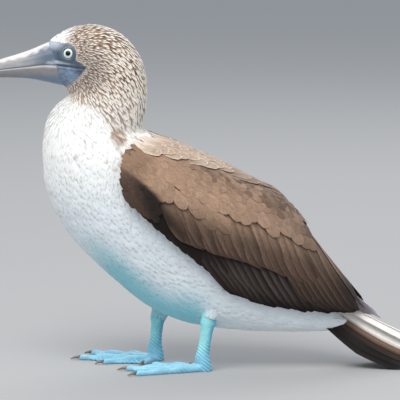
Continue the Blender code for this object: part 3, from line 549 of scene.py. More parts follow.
def plumage(name: str, parts: list[Laid], finish: Material) -> Object:
    """One mesh of closed feathers, with their colours and their OFBake map.

    Args:
        name: the object's name.
        parts: laid and coloured feathers.
        finish: the object's material.

    Returns:
        The linked object.
    """
    gathered, base = [], 0
    for laid in parts:
        n, rows, wide = laid.points.shape[:3]
        one, counts, top = feather_faces(rows - 1, wide - 1)
        each = rows * wide
        along = laid.u * laid.length[:, None, None]
        across = laid.v * laid.width[:, None, None] / 2
        seed = np.broadcast_to(laid.draw[:, None, None], along.shape)
        patch = np.stack([laid.u - 0.5, laid.v / 2], -1) * MAP_PATCH
        gathered.append((
            laid.points.reshape(-1, 3),
            (one[None] + base + each * np.arange(n)[:, None]).ravel(),
            np.tile(counts, n),
            np.tile(top, n),
            laid.colours.reshape(-1, 3),
            np.stack([along, across, seed], -1).reshape(-1, 3),
            (MAP_MARGIN + MAP_SHARE * laid.spot[:, None, None] + patch).reshape(-1, 2)))
        base += n * each
    points, corners, totals, tops, colours, lays, spots = map(np.concatenate, zip(*gathered))
    mesh = bpy.data.meshes.new(name)
    mesh.vertices.add(len(points))
    mesh.loops.add(len(corners))
    mesh.polygons.add(len(totals))
    mesh.vertices.foreach_set("co", points.astype(np.float32).ravel())
    mesh.loops.foreach_set("vertex_index", corners.astype(np.int32))
    mesh.polygons.foreach_set("loop_start", (np.cumsum(totals) - totals).astype(np.int32))
    mesh.update(calc_edges=True)
    mesh.shade_smooth()
    edge_of = np.zeros(len(corners), np.int32)
    mesh.loops.foreach_get("edge_index", edge_of)
    sharp = np.zeros(len(mesh.edges), bool)
    sharp[edge_of[~np.repeat(tops, totals)]] = True
    mesh.edges.foreach_set("use_edge_sharp", sharp)
    store(mesh, colours, lays)
    layer = mesh.uv_layers.new(name="OFBake")
    layer.uv.foreach_set("vector", spots[corners].astype(np.float32).ravel())
    mesh.update()
    mesh.materials.append(finish)
    return placed(name, mesh)


def store(mesh: Mesh, colours: Array, lays: Array | None = None) -> None:
    """Write the colour, and the place on its own feather, of each vertex."""
    tint = mesh.attributes.new("plume", "FLOAT_COLOR", "POINT")
    full = np.concatenate([np.clip(colours, 0, 1), np.ones((len(colours), 1))], 1)
    tint.data.foreach_set("color", full.astype(np.float32).ravel())
    if lays is not None:
        place = mesh.attributes.new("lay", "FLOAT_VECTOR", "POINT")
        place.data.foreach_set("vector", lays.astype(np.float32).ravel())


def painted(item: Object, colours: Array, finish: Material) -> Object:
    """Give a mesh object its colours, one for each vertex, and its material."""
    store(item.data, colours.reshape(-1, 3))
    item.data.materials.append(finish)
    return item


def placed(name: str, data: ID) -> Object:
    """A new object of some data, linked to the scene."""
    item = bpy.data.objects.new(name, data)
    bpy.context.scene.collection.objects.link(item)
    return item


def solid_object(name: str, points: Array, faces: list[tuple[int, ...]]) -> Object:
    """A smooth mesh object of points and faces, facing out."""
    mesh = bpy.data.meshes.new(name)
    mesh.from_pydata([tuple(p) for p in points], [], faces)
    shape = bmesh.new()
    shape.from_mesh(mesh)
    bmesh.ops.recalc_face_normals(shape, faces=shape.faces)
    shape.to_mesh(mesh)
    shape.free()
    mesh.shade_smooth()
    return placed(name, mesh)


def grid_object(name: str, points: Array) -> Object:
    """A closed loft through rings of points, its ends capped.

    Args:
        name: the object's name.
        points: rings, points of a ring, coordinates.

    Returns:
        The linked object.
    """
    rings, count = points.shape[:2]
    faces = []
    for r in range(rings - 1):
        for k in range(count):
            a, b = r * count + k, r * count + (k + 1) % count
            faces.append((a, b, b + count, a + count))
    faces.append(tuple(range(count - 1, -1, -1)))
    faces.append(tuple(range((rings - 1) * count, rings * count)))
    return solid_object(name, points.reshape(-1, 3), faces)


def vectors(collection: bpy_prop_collection, key: str) -> Array:
    """One vector of each item of a collection."""
    flat = np.zeros(len(collection) * 3, np.float32)
    collection.foreach_get(key, flat)
    return flat.reshape(-1, 3).astype(float)


def vertices(item: Object) -> Array:
    """The places of a mesh object's vertices."""
    return vectors(item.data.vertices, "co")


def set_vertices(item: Object, points: Array) -> None:
    """Move a mesh object's vertices to given places."""
    item.data.vertices.foreach_set("co", points.astype(np.float32).ravel())
    item.data.update()


def normals(item: Object) -> Array:
    """The vertex normals of a mesh object."""
    return vectors(item.data.vertex_normals, "vector")


def applied(item: Object) -> Object:
    """Replace an object's mesh by what its modifiers make of it."""
    bpy.context.view_layer.update()
    graph = bpy.context.evaluated_depsgraph_get()
    mesh = bpy.data.meshes.new_from_object(item.evaluated_get(graph))
    item.modifiers.clear()
    item.data = mesh
    return item


def joined(name: str, items: list[Object] | tuple[Object, ...]) -> Object:
    """One object of several meshes, which are removed."""
    shape = bmesh.new()
    for item in items:
        shape.from_mesh(item.data)
    mesh = bpy.data.meshes.new(name)
    shape.to_mesh(mesh)
    shape.free()
    for item in items:
        bpy.data.objects.remove(item)
    return placed(name, mesh)


def remeshed(item: Object, voxel: float, rounds: int) -> Object:
    """Fuse an object's overlapping shells into one even surface and soften it."""
    fuse = item.modifiers.new("fuse", "REMESH")
    fuse.mode = "VOXEL"
    fuse.voxel_size = voxel
    soften = item.modifiers.new("soften", "SMOOTH")
    soften.factor = 0.5
    soften.iterations = rounds
    applied(item)
    item.data.shade_smooth()
    return item


def grain(points: Array, scale: float, seed: float = 0.0) -> Array:
    """Smooth noise from -1 to 1 at each point."""
    move = Vector((seed, -seed, 2 * seed))
    return np.array([noise.noise(Vector(p) * scale + move) for p in points])


@dataclass(frozen=True)
class Graph:
    """The nodes of a material."""

    tree: NodeTree

    def node(self, kind: str, inputs: dict[str | int, object] | None = None,
             **settings: object) -> Node:
        """A new node with its settings given, and its inputs linked to sockets or set."""
        made = self.tree.nodes.new(f"ShaderNode{kind}")
        for key, value in settings.items():
            setattr(made, key, value)
        for key, value in (inputs or {}).items():
            if isinstance(value, NodeSocket):
                self.tree.links.new(value, made.inputs[key])
            else:
                made.inputs[key].default_value = value
        return made

    def maths(self, operation: str, first: object, second: object) -> NodeSocket:
        """The output of a Math node on two sockets or numbers."""
        return self.node("Math", {0: first, 1: second}, operation=operation).outputs[0]

    def times(self, first: object, second: object) -> NodeSocket:
        """The product of two sockets or numbers."""
        return self.maths("MULTIPLY", first, second)


@dataclass(frozen=True)
class Finish:
    """A procedural finish: the mesh's own colours, shaded and raised by a pattern."""

    name: str
    roughness: float
    specular: float = 0.4
    sheen: float = 0.0
    coat: float = 0.0
    contrast: float = 0.10
    relief: float = 0.25
    depth: float = 0.0004

    def pattern(self, graph: Graph) -> NodeSocket:
        """A value round 0.5 that shades and raises the surface."""
        raise NotImplementedError

    def make(self) -> Material:
        """The finished material."""
        made = bpy.data.materials.new(self.name)
        made.use_nodes = True
        graph = Graph(made.node_tree)
        face = made.node_tree.nodes["Principled BSDF"]
        for key, value in {"Roughness": self.roughness, "Specular IOR Level": self.specular,
                           "Sheen Weight": self.sheen, "Sheen Roughness": 0.5,
                           "Coat Weight": self.coat, "Coat Roughness": 0.15}.items():
            face.inputs[key].default_value = value
        colour = graph.node("Attribute", attribute_name="plume").outputs["Color"]
        pattern = self.pattern(graph)
        spread = graph.node("MapRange", {
            "From Min": 0.3, "From Max": 0.7, "To Min": 1 - self.contrast,
            "To Max": 1 + self.contrast, "Value": pattern}).outputs[0]
        shade = graph.node("VectorMath", {0: colour, "Scale": spread}, operation="SCALE")
        bump = graph.node("Bump", {
            "Distance": self.depth, "Strength": self.relief, "Height": pattern})
        made.node_tree.links.new(shade.outputs[0], face.inputs["Base Color"])
        made.node_tree.links.new(bump.outputs[0], face.inputs["Normal"])
        return made


@dataclass(frozen=True)
class Plume(Finish):
    """Feather: barbs that run out from the shaft, with soft variation."""

    contrast: float = 0.14
    relief: float = 0.35
    depth: float = 0.00025
    barb: float = 1500.0
    slant: float = 0.9
    comb: float = 0.4
    apart: float = 91.0

    def pattern(self, graph: Graph) -> NodeSocket:
        """Barbs along the vane's slant, mixed with lines along the shaft."""
        place = graph.node("Attribute", attribute_name="lay").outputs["Vector"]
        x, y, z = graph.node("SeparateXYZ", {0: place}).outputs
        across = graph.maths("ABSOLUTE", y, 0.0)
        along = graph.maths("SUBTRACT", x, graph.times(across, self.slant))
        where = graph.node("CombineXYZ", {
            "X": graph.times(along, self.barb), "Y": graph.times(y, self.barb * 0.16),
            "Z": graph.times(z, self.apart)}).outputs[0]
        barbs = graph.node("TexNoise", {"Scale": 1.0, "Detail": 2.0, "Vector": where})
        pull = graph.node("VectorMath", {0: place, 1: (170.0, 850.0, self.apart)},
                          operation="MULTIPLY").outputs[0]
        lines = graph.node("TexNoise", {"Scale": 1.0, "Vector": pull})
        return graph.maths("ADD", graph.times(barbs.outputs["Fac"], 1 - self.comb),
                           graph.times(lines.outputs["Fac"], self.comb))


@dataclass(frozen=True)
class Hide(Finish):
    """Bare skin: small pebbled scales over broader folds."""

    relief: float = 0.5
    cell: float = 900.0

    def pattern(self, graph: Graph) -> NodeSocket:
        """Rounded scales and folds in equal parts."""
        where = graph.node("TexCoord").outputs["Object"]
        scales = graph.node("TexVoronoi", {"Scale": self.cell, "Vector": where}, feature="F1")
        folds = graph.node("TexNoise", {"Scale": self.cell * 0.22, "Detail": 3.0, "Vector": where})
        round_off = graph.maths("SUBTRACT", 1.0, scales.outputs["Distance"])
        return graph.maths("ADD", graph.times(round_off, 0.5), graph.times(folds.outputs["Fac"], 0.5))


@dataclass(frozen=True)
class Horn(Finish):
    """Horn: long faint growth lines along the bill or claw."""

    stretch: float = 12.0

    def pattern(self, graph: Graph) -> NodeSocket:
        """Noise drawn out along x."""
        where = graph.node("TexCoord").outputs["Object"]
        scale = (1.0, self.stretch, self.stretch)
        pull = graph.node("Mapping", {"Scale": scale, "Vector": where}).outputs[0]
        lines = graph.node("TexNoise", {"Scale": 60.0, "Detail": 5.0, "Vector": pull})
        return lines.outputs["Fac"]


class Paint:
    """Colours of the bird by place, shared by skin and coat."""

    WHITE = srgb(243, 243, 240)
    # Painted sky-lit shade: the bluish white of the lower body and thighs.
    SKYLIT_WHITE = srgb(232, 240, 245)
    CREAM = srgb(238, 226, 210)
    CINNAMON = srgb(144, 110, 84)
    UMBER = srgb(92, 70, 56)
    GREY_BROWN = srgb(96, 84, 78)
    ASH = srgb(176, 166, 160)
    # Painted reflection of the blue feet, tinting the lower belly and thighs teal.
    REFLECTED_TEAL = srgb(126, 202, 214)
    MANTLE = srgb(180, 156, 136)
    SCAPULAR = srgb(112, 89, 74)
    COVERT = srgb(160, 131, 109)
    COVERT_FRONT = srgb(138, 111, 91)
    COVERT_REAR = srgb(152, 125, 106)
    COVERT_LOW = srgb(98, 78, 65)
    MARGIN = srgb(72, 56, 47)
    NIGHT = srgb(36, 28, 24)
    FRINGE = srgb(214, 196, 176)
    FACE = srgb(72, 86, 104)
    GULAR = srgb(114, 134, 158)
    STRIP = srgb(164, 172, 184)
    PLATE = srgb(137, 136, 140)
    CULMEN = srgb(222, 218, 216)
    HORN = srgb(162, 160, 162)
    TAN = srgb(146, 115, 92)
    SHOULDER = srgb(236, 222, 210)
    MASK_FRONT = FACE * (1.22, 1.26, 1.28)
    # Painted highlight on the top of the bare face.
    MASK_TOP_HIGHLIGHT = srgb(192, 200, 212)
    RIM_DARK = srgb(34, 40, 48)

    @staticmethod
    def pixels(points: Array, shift: Array) -> tuple[Array, Array]:
        """Side-view places, counted right and down in the side view's unit."""
        x = (points[..., 0] - shift[0]) / UNIT_X + ORIGIN_X
        height = points[..., 2] - np.abs(points[..., 1] - shift[1]) * SIGHT_SLOPE
        return x, ORIGIN_Z - height / UNIT_Z

    @classmethod
    def strip(cls, points: Array, shift: Array) -> Array:
        """Share of the pale strip over the corner of the mouth, pointed at both ends."""
        px, py = cls.pixels(points, shift)
        knots = [44, 49, 55, 62, 68, 74]
        over = np.interp(px, knots, [65.4, 61.4, 60.4, 61.4, 63.2, 65.4])
        below = np.interp(px, knots, [65.4, 64.8, 64.4, 64.6, 65.2, 65.6])
        return smooth(-0.3, 0.7, py - over) * smooth(-0.3, 0.7, below - py)

    @classmethod
    def zones(cls, points: Array, shift: Array) -> dict[str, Array]:
        """How strongly each marking, and the painted reflection of the blue feet on the belly, holds at
        each point.

        Args:
            points: places on the body.
            shift: where the body's middle lies.

        Returns:
            A share from 0 to 1 for each marking and for the painted reflection.
        """
        px, py = cls.pixels(points, shift)
        edge = np.interp(px, [60, 70, 78, 90, 102, 108, 112], [88, 96, 101, 104, 112, 125, 150])
        off = edge - py
        front = px - 0.8 * np.maximum(33 - py, 0) + 0.6 * np.maximum(py - 38, 0)
        low_end = smooth(134, 126, py + 0.12 * (px - 120))
        streak = smooth(-4, 4, off) * smooth(64, 73, front) * low_end
        spots = smooth(-90, -10, off) * smooth(190, 120, py) * (py > 60) * (1 - streak)
        patch = smooth(1.0, 0.6, np.hypot((px - 119) / 10, (py - 138) / 12))
        edge = np.interp(px, [110, 126, 134, 142, 150, 156], [162, 148, 142.5, 139, 136.5, 120])
        low = np.interp(px, [120, 152, 200, 227, 360], [190, 224, 256, 290, 313])
        mantle = smooth(-1, 2, py - edge) * smooth(12, 18, low - py) * smooth(119, 124, px)
        under = np.interp(px, [61, 76, 94, 110, 143, 160, 205, 250],
                          [221, 241, 260, 274, 304, 316, 321, 321]) - py
        # Where the painted reflection of the blue feet tints the lower belly.
        belly = smooth(42, 9, under) * smooth(66, 112, px) * smooth(207, 178, px)
        cheek = smooth(26, 8, np.hypot(px - 84, (py - 70) * 0.9))
        crown = smooth(62, 44, py + 0.25 * np.abs(px - 100))
        return dict(streak=np.clip(streak + 0.5 * patch, 0, 1), spots=spots, mantle=mantle,
                    belly=belly, cheek=cheek, tan=patch, crown=crown)


@dataclass
class Skin:
    """The one skin of head, neck, body and thighs, with bare face and throat."""

    form: Form
    thighs: list[Form]
    around: int = 232
    head_step: float = 0.0008
    body_step: float = 0.0030
    bare_depth: float = 0.0003
    head_depth: float = 0.0012
    body_depth: float = 0.0022

    def coat_depth(self, points: Array) -> Array:
        """How far under the coat's outer face the skin lies."""
        x, z = self.form.side(points)
        feathered = smooth(0.0, 0.004, bare_distance(x, z))
        deep = self.bare_depth + (self.head_depth - self.bare_depth) * feathered
        return deep + (self.body_depth - self.head_depth) * smooth(0.30, 0.23, z)

    def stations(self) -> Array:
        """Values of t, close together on the head."""
        fine = np.linspace(0, self.form.last, 1500)
        line = [self.form.at(fine, np.full_like(fine, a)) for a in (math.pi / 2, 0.0, -math.pi / 2)]
        travel = np.max([np.linalg.norm(np.diff(p, axis=0), axis=1) for p in line], axis=0)
        step = np.where(fine[:-1] < 5, self.head_step, self.body_step)
        steps = np.concatenate([[0], np.cumsum(travel / step)])
        return np.interp(np.linspace(0, steps[-1], int(steps[-1])), steps, fine)

    def face_relief(self, points: Array) -> Array:
        """Folds of the bare face: the mouth line, the pale ridge over it, the eye's pit."""
        x, z = self.form.side(points)
        over = z - np.interp(x, MOUTH_X, MOUTH_Z)
        reach = smooth(-0.1345, -0.1400, x)
        groove = -0.0009 * np.exp(-(over / 0.0007) ** 2) * reach
        ridge = 0.0006 * np.exp(-((over - 0.0026) / 0.0014) ** 2) * smooth(-0.1480, -0.1560, x)
        low = 0.0003 * np.exp(-((over + 0.0020) / 0.0014) ** 2) * reach
        eye = np.hypot(x - EYE_SPOT[0], z - EYE_SPOT[1])
        pit = -0.0045 * smooth(0.0059, 0.0050, eye)
        brow = 0.0004 * np.exp(-((eye - 0.0088) / 0.0016) ** 2)
        folds = 0.00030 * np.sin((z - 0.340) * 3600 + 2.2 * np.sin(x * 240)) * smooth(
            -0.0015, -0.0040, over) * smooth(-0.150, -0.160, x)
        return (groove + ridge + low + pit + brow + folds) * inside(BARE_OUTLINE, x, z)

    def colours(self, points: Array) -> Array:
        """Skin colours: bare slate blue, and elsewhere what the coat over it shows."""
        x, z = self.form.side(points)
        zone = Paint.zones(points, self.form.shift)
        away = bare_distance(x, z)
        under = layered(
            Paint.WHITE * 0.85,
            (Paint.CINNAMON, zone["streak"] * 0.8),
            (Paint.CREAM * 0.75, smooth(0.0030, 0.0008, np.abs(away))),
            (Paint.MANTLE * 0.8, zone["mantle"]),
            # Painted reflection of the blue feet on the lower belly.
            (Paint.REFLECTED_TEAL, zone["belly"] * 0.8))
        over = z - np.interp(x, MOUTH_X, MOUTH_Z)
        plate = np.hypot(np.maximum(x + 0.1730, 0) / 0.0078, (z - 0.3440) / 0.0056)
        eye = np.hypot(x - EYE_SPOT[0], z - EYE_SPOT[1])
        upper = smooth(0.3650, 0.3765, z)
        bare = layered(
            Paint.GULAR,
            (Paint.FACE, smooth(-0.001, 0.001, over)),
            (Paint.FACE * 0.8, smooth(-0.155, -0.142, x) * smooth(-0.012, -0.004, over)),
            (Paint.MASK_FRONT, smooth(-0.160, -0.176, x) * smooth(0.0, 0.002, over)),
            (Paint.PLATE, smooth(1.08, 0.92, plate) * smooth(-0.0008, -0.0018, over)),
            (Paint.STRIP, 0.9 * Paint.strip(points, self.form.shift)),
            (Paint.FACE * 0.35, np.exp(-(over / 0.0006) ** 2) * 0.8),
            (Paint.FACE * 0.6, np.exp(-((eye - 0.0105) / 0.0022) ** 2) * 0.5),
            # Painted highlight: the top of the bare face paler, most towards the bill.
            (Paint.MASK_TOP_HIGHLIGHT, upper * (0.16 + 0.68 * smooth(-0.158, -0.172, x))))
        blotch = grain(points * (1.0, 1.0, 2.6), 230.0, 3.0)
        bare = bare * (1 + 0.34 * blotch * smooth(0.001, -0.001, over) + 0.14 * blotch)[:, None]
        return mix(bare, under, smooth(0.0005, 0.0012, away))

    def build(self, finish: Material) -> Object:
        """The skin as one closed mesh."""
        grid = np.meshgrid(self.stations(), circle(self.around), indexing="ij")
        item = grid_object("skin", self.form.at(*grid, -self.coat_depth(self.form.at(*grid))))
        points = vertices(item)
        set_vertices(item, points + normals(item) * self.face_relief(points)[:, None])
        group = bpy.data.collections.new("limbs")
        bpy.context.scene.collection.children.link(group)
        limbs = []
        for n, thigh in enumerate(self.thighs):
            grid = np.meshgrid(np.linspace(0, thigh.last, 24), circle(40), indexing="ij")
            limbs.append(grid_object(f"thigh_{n}", thigh.at(*grid, -self.head_depth)))
            bpy.context.scene.collection.objects.unlink(limbs[n])
            group.objects.link(limbs[n])
        fuse = item.modifiers.new("fuse", "BOOLEAN")
        fuse.operation = "UNION"
        fuse.operand_type = "COLLECTION"
        fuse.collection = group
        fuse.solver = "MANIFOLD"
        applied(item)
        for limb in limbs:
            bpy.data.objects.remove(limb)
        bpy.data.collections.remove(group)
        item.data.shade_smooth()
        item.data.materials.clear()
        return painted(item, self.colours(vertices(item)), finish)


@dataclass
class Coat:
    """The small feathers of head, neck and body."""

    form: Form
    seed: int = 5
    head_end: float = 7.0
    neck_end: float = 12.6
    gap: float = 0.0052
    face_gap: float = 0.0037

    def on_body(self, t: Array) -> Array:
        """Share of the body's kind of feather at t, from 0 on the neck to 1."""
        return smooth(self.neck_end - 2.5, self.neck_end + 0.5, t)

    def spacing(self, t: Array, a: Array, points: Array) -> Array:
        """Distance kept between feathers, negative where none grow."""
        x, z = self.form.side(points)
        away = bare_distance(x, z)
        gap = self.face_gap + (self.gap - self.face_gap) * smooth(0.0, 0.045, away) ** 0.7
        gap = gap - 0.0014 * smooth(0.007, 0.0, away)
        hidden = inside(WING_OUTLINE, x, z) & (edge_distance(WING_OUTLINE, x, z) > 0.016)
        hidden &= np.abs(points[:, 1] - self.form.shift[1]) > 0.012
        return np.where((away < 0.0001) | hidden, -1.0, gap)

    def slim(self, t: Array) -> Array:
        """Spacing across the lie as a share of that along it, for long streaks on the head."""
        return 0.37 + 0.39 * self.on_body(t)

    def heading(self, spin: Array) -> Field:
        """The lie of the coat, turned a little for each feather."""
        def way(points: Array, by_t: Array, normal: Array) -> Array:
            """Direction on at each point."""
            ahead = lie_at(points, self.form.shift)
            return turned(unit(ahead - normal * (ahead * normal).sum(-1, keepdims=True)), normal, spin)
        return way

    def colour(self, laid: Laid, draw: Draw) -> Array:
        """Colours of each vertex of the laid feathers."""
        root = laid.points[:, 0, laid.points.shape[2] // 2]
        zone = Paint.zones(root, self.form.shift)
        n, u, v = len(root), laid.u, laid.v
        down = Paint.pixels(root, self.form.shift)[1]
        nape = smooth(72, 112, down)
        # Painted sky-lit shade: the white turns bluish towards the underside.
        pale = mix(mix(Paint.WHITE, Paint.SKYLIT_WHITE, smooth(130, 230, down)), Paint.CREAM,
                   (0.75 - 0.3 * nape) * zone["streak"])
        pale = mix(pale, Paint.ASH, 0.7 * zone["cheek"] * zone["streak"])
        pale = pale * (1 + draw.normal(0, 0.02, n))[:, None]
        lean = np.clip(draw.normal(0.45, 0.35, n), 0, 1)
        mark = mix(mix(Paint.CINNAMON, Paint.UMBER, lean), Paint.GREY_BROWN, 0.7 * zone["cheek"])
        more = (0.07 * zone["crown"] - 0.07 * nape)[:, None, None]
        root_part = smooth(0.60 + more, 0.46 + more, u)
        centre = np.maximum(root_part, 0.5 * smooth(0.84, 0.66, u) * smooth(0.5, 0.2, np.abs(v)))
        strong = np.clip(zone["streak"] * draw.normal(0.95, 0.12, n), 0, 1)
        off_face = smooth(0.0005, 0.0050, bare_distance(*self.form.side(root)))
        strong = strong * (0.60 + 0.40 * off_face) * (1 - 0.22 * nape)
        spotted = (draw.random(n) < 0.16 * zone["spots"]) * draw.uniform(0.25, 0.75, n)
        spot = smooth(0.55, 0.70, u) * smooth(0.98, 0.84, u) * smooth(0.70, 0.25, np.abs(v))
        share = np.maximum(centre * strong[:, None, None], spot * spotted[:, None, None])
        out = mix(pale[:, None, None], mark[:, None, None], share)
        tan = Paint.zones(laid.points, self.form.shift)["tan"]
        tan = tan * draw.uniform(0.35, 1.0, n)[:, None, None]
        out = mix(out, Paint.TAN, tan * (0.95 - 0.30 * smooth(0.75, 1.0, u)))
        out = out * (1 - 0.04 * draw.random(n))[:, None, None, None]
        # Painted reflection of the blue feet on the lower belly.
        out = mix(out, Paint.REFLECTED_TEAL, (0.88 * zone["belly"])[:, None, None])
        brown = mix(Paint.MANTLE * 0.85, Paint.FRINGE, smooth(0.7, 1.0, np.maximum(np.abs(v), u)))
        return mix(out, brown, zone["mantle"][:, None, None])

    def build(self, streaked: Material, white: Material) -> list[Object]:
        """The coat's pieces."""
        draw = np.random.default_rng(self.seed)
        t, a = self.form.scatter(self.spacing, draw, slim=self.slim)
        points = self.form.at(t, a)
        away = np.maximum(bare_distance(*self.form.side(points)), 0)
        body = self.on_body(t)
        far = smooth(0, 0.045, away) ** 0.7
        length = 0.0046 + 0.0040 * smooth(0.0, 0.008, away) + 0.0058 * far + 0.0062 * body
        width = 0.0017 + 0.0018 * far + 0.0065 * body
        length = length * draw.uniform(0.9, 1.12, len(t))
        width = width * draw.uniform(0.9, 1.1, len(t))
        deep = 0.0001 + 0.0013 * smooth(0, 0.010, away) - 0.0002 * body
        lift = draw.uniform(0.0, 0.0010, len(t)) * smooth(0, 0.015, away) * (1 - 0.85 * body)
        lift = lift + 0.0009 * body * grain(points * (1.0, 1.0, 1.9), 42.0, 2.0)
        sunk = 0.0004 * smooth(-0.001, 0.006, away) + 0.0006 * body - 0.0002
        grown = (t, a, length, width, deep, lift, sunk, draw.normal(0, 0.09, len(t)))
        left = a % (2 * math.pi)
        left = (left < math.pi / 2) | (left > 1.5 * math.pi)
        head, torso = t < self.head_end, t >= self.neck_end
        neck = ~head & ~torso
        groups = {"coat_head": head, "coat_neck_left": neck & left, "coat_neck_right": neck & ~left,
                  "coat_body_left": torso & left, "coat_body_right": torso & ~left}
        return [self.piece(name, [q[chosen] for q in grown], "body" not in name, draw,
                           white if "body" in name else streaked)
                for name, chosen in groups.items()]

    def piece(self, name: str, grown: list[Array], head: bool, draw: Draw,
              finish: Material) -> Object:
        """One piece of the coat.

        Args:
            name: the object's name.
            grown: t, a, length, width, depth, lift, sinking and spin of each feather.
            head: whether they are the narrow streaks of head and neck.
            draw: the source of random values.
            finish: the object's material.

        Returns:
            The linked object.
        """
        t, a, length, width, deep, lift, sunk, spin = grown
        deep, lift, sunk = deep[:, None], lift[:, None], sunk[:, None]
        kind, bend, dip, roll = (
            (Kind.STREAK, 1.3, 0.0, 0.04) if head else (Kind.DOWN, 2.0, 0.0006, 0.012))

        def height(u: Array) -> Array:
            """Height over the coat's face, from the root up to the tip."""
            return -sunk - deep * (1 - u[None]) ** bend + lift * u[None] ** 2 - dip * u[None] ** 6

        path = march(self.form, t, a, length, kind.value.stations, self.heading(spin))
        laid = lay(self.form, *path, kind, width, height, draw.normal(0, roll, len(t)), draw)
        laid.colours = self.colour(laid, draw)
        return plumage(name, [laid], finish)


@dataclass
class Thigh:
    """The small feathers of one thigh."""

    form: Form
    name: str
    gap: float = 0.0030
    start: float = 0.8
    cuff: float = 0.12
    seed: int = 9

    def build(self, finish: Material) -> Object:
        """The thigh's coat."""
        draw = np.random.default_rng(self.seed)

        def spacing(t: Array, a: Array, points: Array) -> Array:
            """The gap down to the cuff."""
            return np.where(t > self.form.last - self.cuff, -1.0, self.gap)

        t, a = self.form.scatter(spacing, draw, self.start)
        n = len(t)
        spin = draw.normal(0, 0.12, n)
        left = self.form.last - t
        length = np.minimum(0.0130, 0.0045 + 0.004 * left) * draw.uniform(0.9, 1.1, n)
        width = np.minimum(0.0068, 0.0040 + 0.0014 * left)

        def way(points: Array, by_t: Array, normal: Array) -> Array:
            """Down the leg."""
            return turned(unit(by_t), normal, spin)

        def height(u: Array) -> Array:
            """Height over the thigh, sunk at the root."""
            return np.broadcast_to(-0.0012 * (1 - u[None]) ** 1.3 + 0.0003 * u[None] ** 2, (n, u.size))

        path = march(self.form, t, a, length, 5, way)
        laid = lay(self.form, *path, Kind.DOWN, width, height, draw.normal(0, 0.04, n), draw)
        # Painted sky-lit shade in the thigh's bluish white.
        tone = Paint.SKYLIT_WHITE * (0.94 - 0.08 * draw.random(n))[:, None]
        px = Paint.pixels(laid.points, self.form.shift)[0]
        # Painted reflection of the blue feet, strongest at the thigh's front.
        laid.colours = mix(tone[:, None, None], Paint.REFLECTED_TEAL, 0.10 + 0.55 * smooth(213, 198, px))
        return plumage(self.name, [laid], finish)


@dataclass(frozen=True)
class Tier:
    """One tier of feathers on a folded wing, placed by its first, middle and last feather."""

    count: int
    roots: tuple[Pair, ...]
    tips: tuple[Pair, ...]
    width: float
    lift: float
    sink: float
    roll: float
    kind: Kind
    base: Triple
    rim: Triple
    outer: Triple
    # Share of painted shadow on the vane beside the neighbour's edge.
    groove: float = 0.45
    pale: float = 0.5
    spread: float = 0.06
    tip: float = 0.0
    fade: float = 0.0


class WingTiers(Enum):
    """The tiers of the near wing, from the lowest to the uppermost. The far one mirrors them."""

    PRIMARIES = Tier(6, ((0.070, 0.118), (0.095, 0.114), (0.118, 0.110)),
                     ((0.150, 0.069), (0.168, 0.068), (0.182, 0.069)),
                     0.020, -0.0040, 0.004, -0.10, Kind.FLIGHT,
                     (36, 29, 25), (54, 45, 40), (46, 37, 32), tip=0.3)
    HAND = Tier(13, ((-0.087, 0.228), (-0.050, 0.197), (0.004, 0.158)),
                ((-0.0605, 0.182), (-0.0135, 0.1395), (0.043, 0.094)),
                0.020, -0.0014, 0.0050, -0.13, Kind.FLIGHT,
                (32, 23, 18), (42, 31, 25), (36, 27, 21), tip=0.2)
    SECONDARIES = Tier(15, ((-0.026, 0.180), (0.042, 0.162), (0.110, 0.152)),
                       ((0.044, 0.0895), (0.098, 0.0720), (0.162, 0.067)),
                       0.0250, -0.0006, 0.0060, -0.15, Kind.FLIGHT,
                       (40, 30, 26), (34, 26, 22), (98, 88, 83), groove=0.5, pale=0.65,
                       tip=0.85)
    TERTIALS = Tier(9, ((0.062, 0.184), (0.088, 0.188), (0.111, 0.184)),
                    ((0.130, 0.075), (0.156, 0.0685), (0.1840, 0.0670)),
                    0.0215, 0.0004, 0.0060, -0.12, Kind.FLIGHT,
                    (64, 49, 41), (100, 80, 67), (85, 68, 57), groove=0.5, pale=0.7, tip=0.4,
                    fade=0.9)
    GREATER = Tier(18, ((-0.052, 0.212), (0.020, 0.200), (0.096, 0.174)),
                   ((-0.016, 0.152), (0.050, 0.128), (0.134, 0.098)),
                   0.0200, 0.0004, 0.0050, -0.10, Kind.FLIGHT,
                   (80, 62, 52), (120, 97, 81), (108, 88, 75), groove=0.5, pale=0.9,
                   fade=0.9)


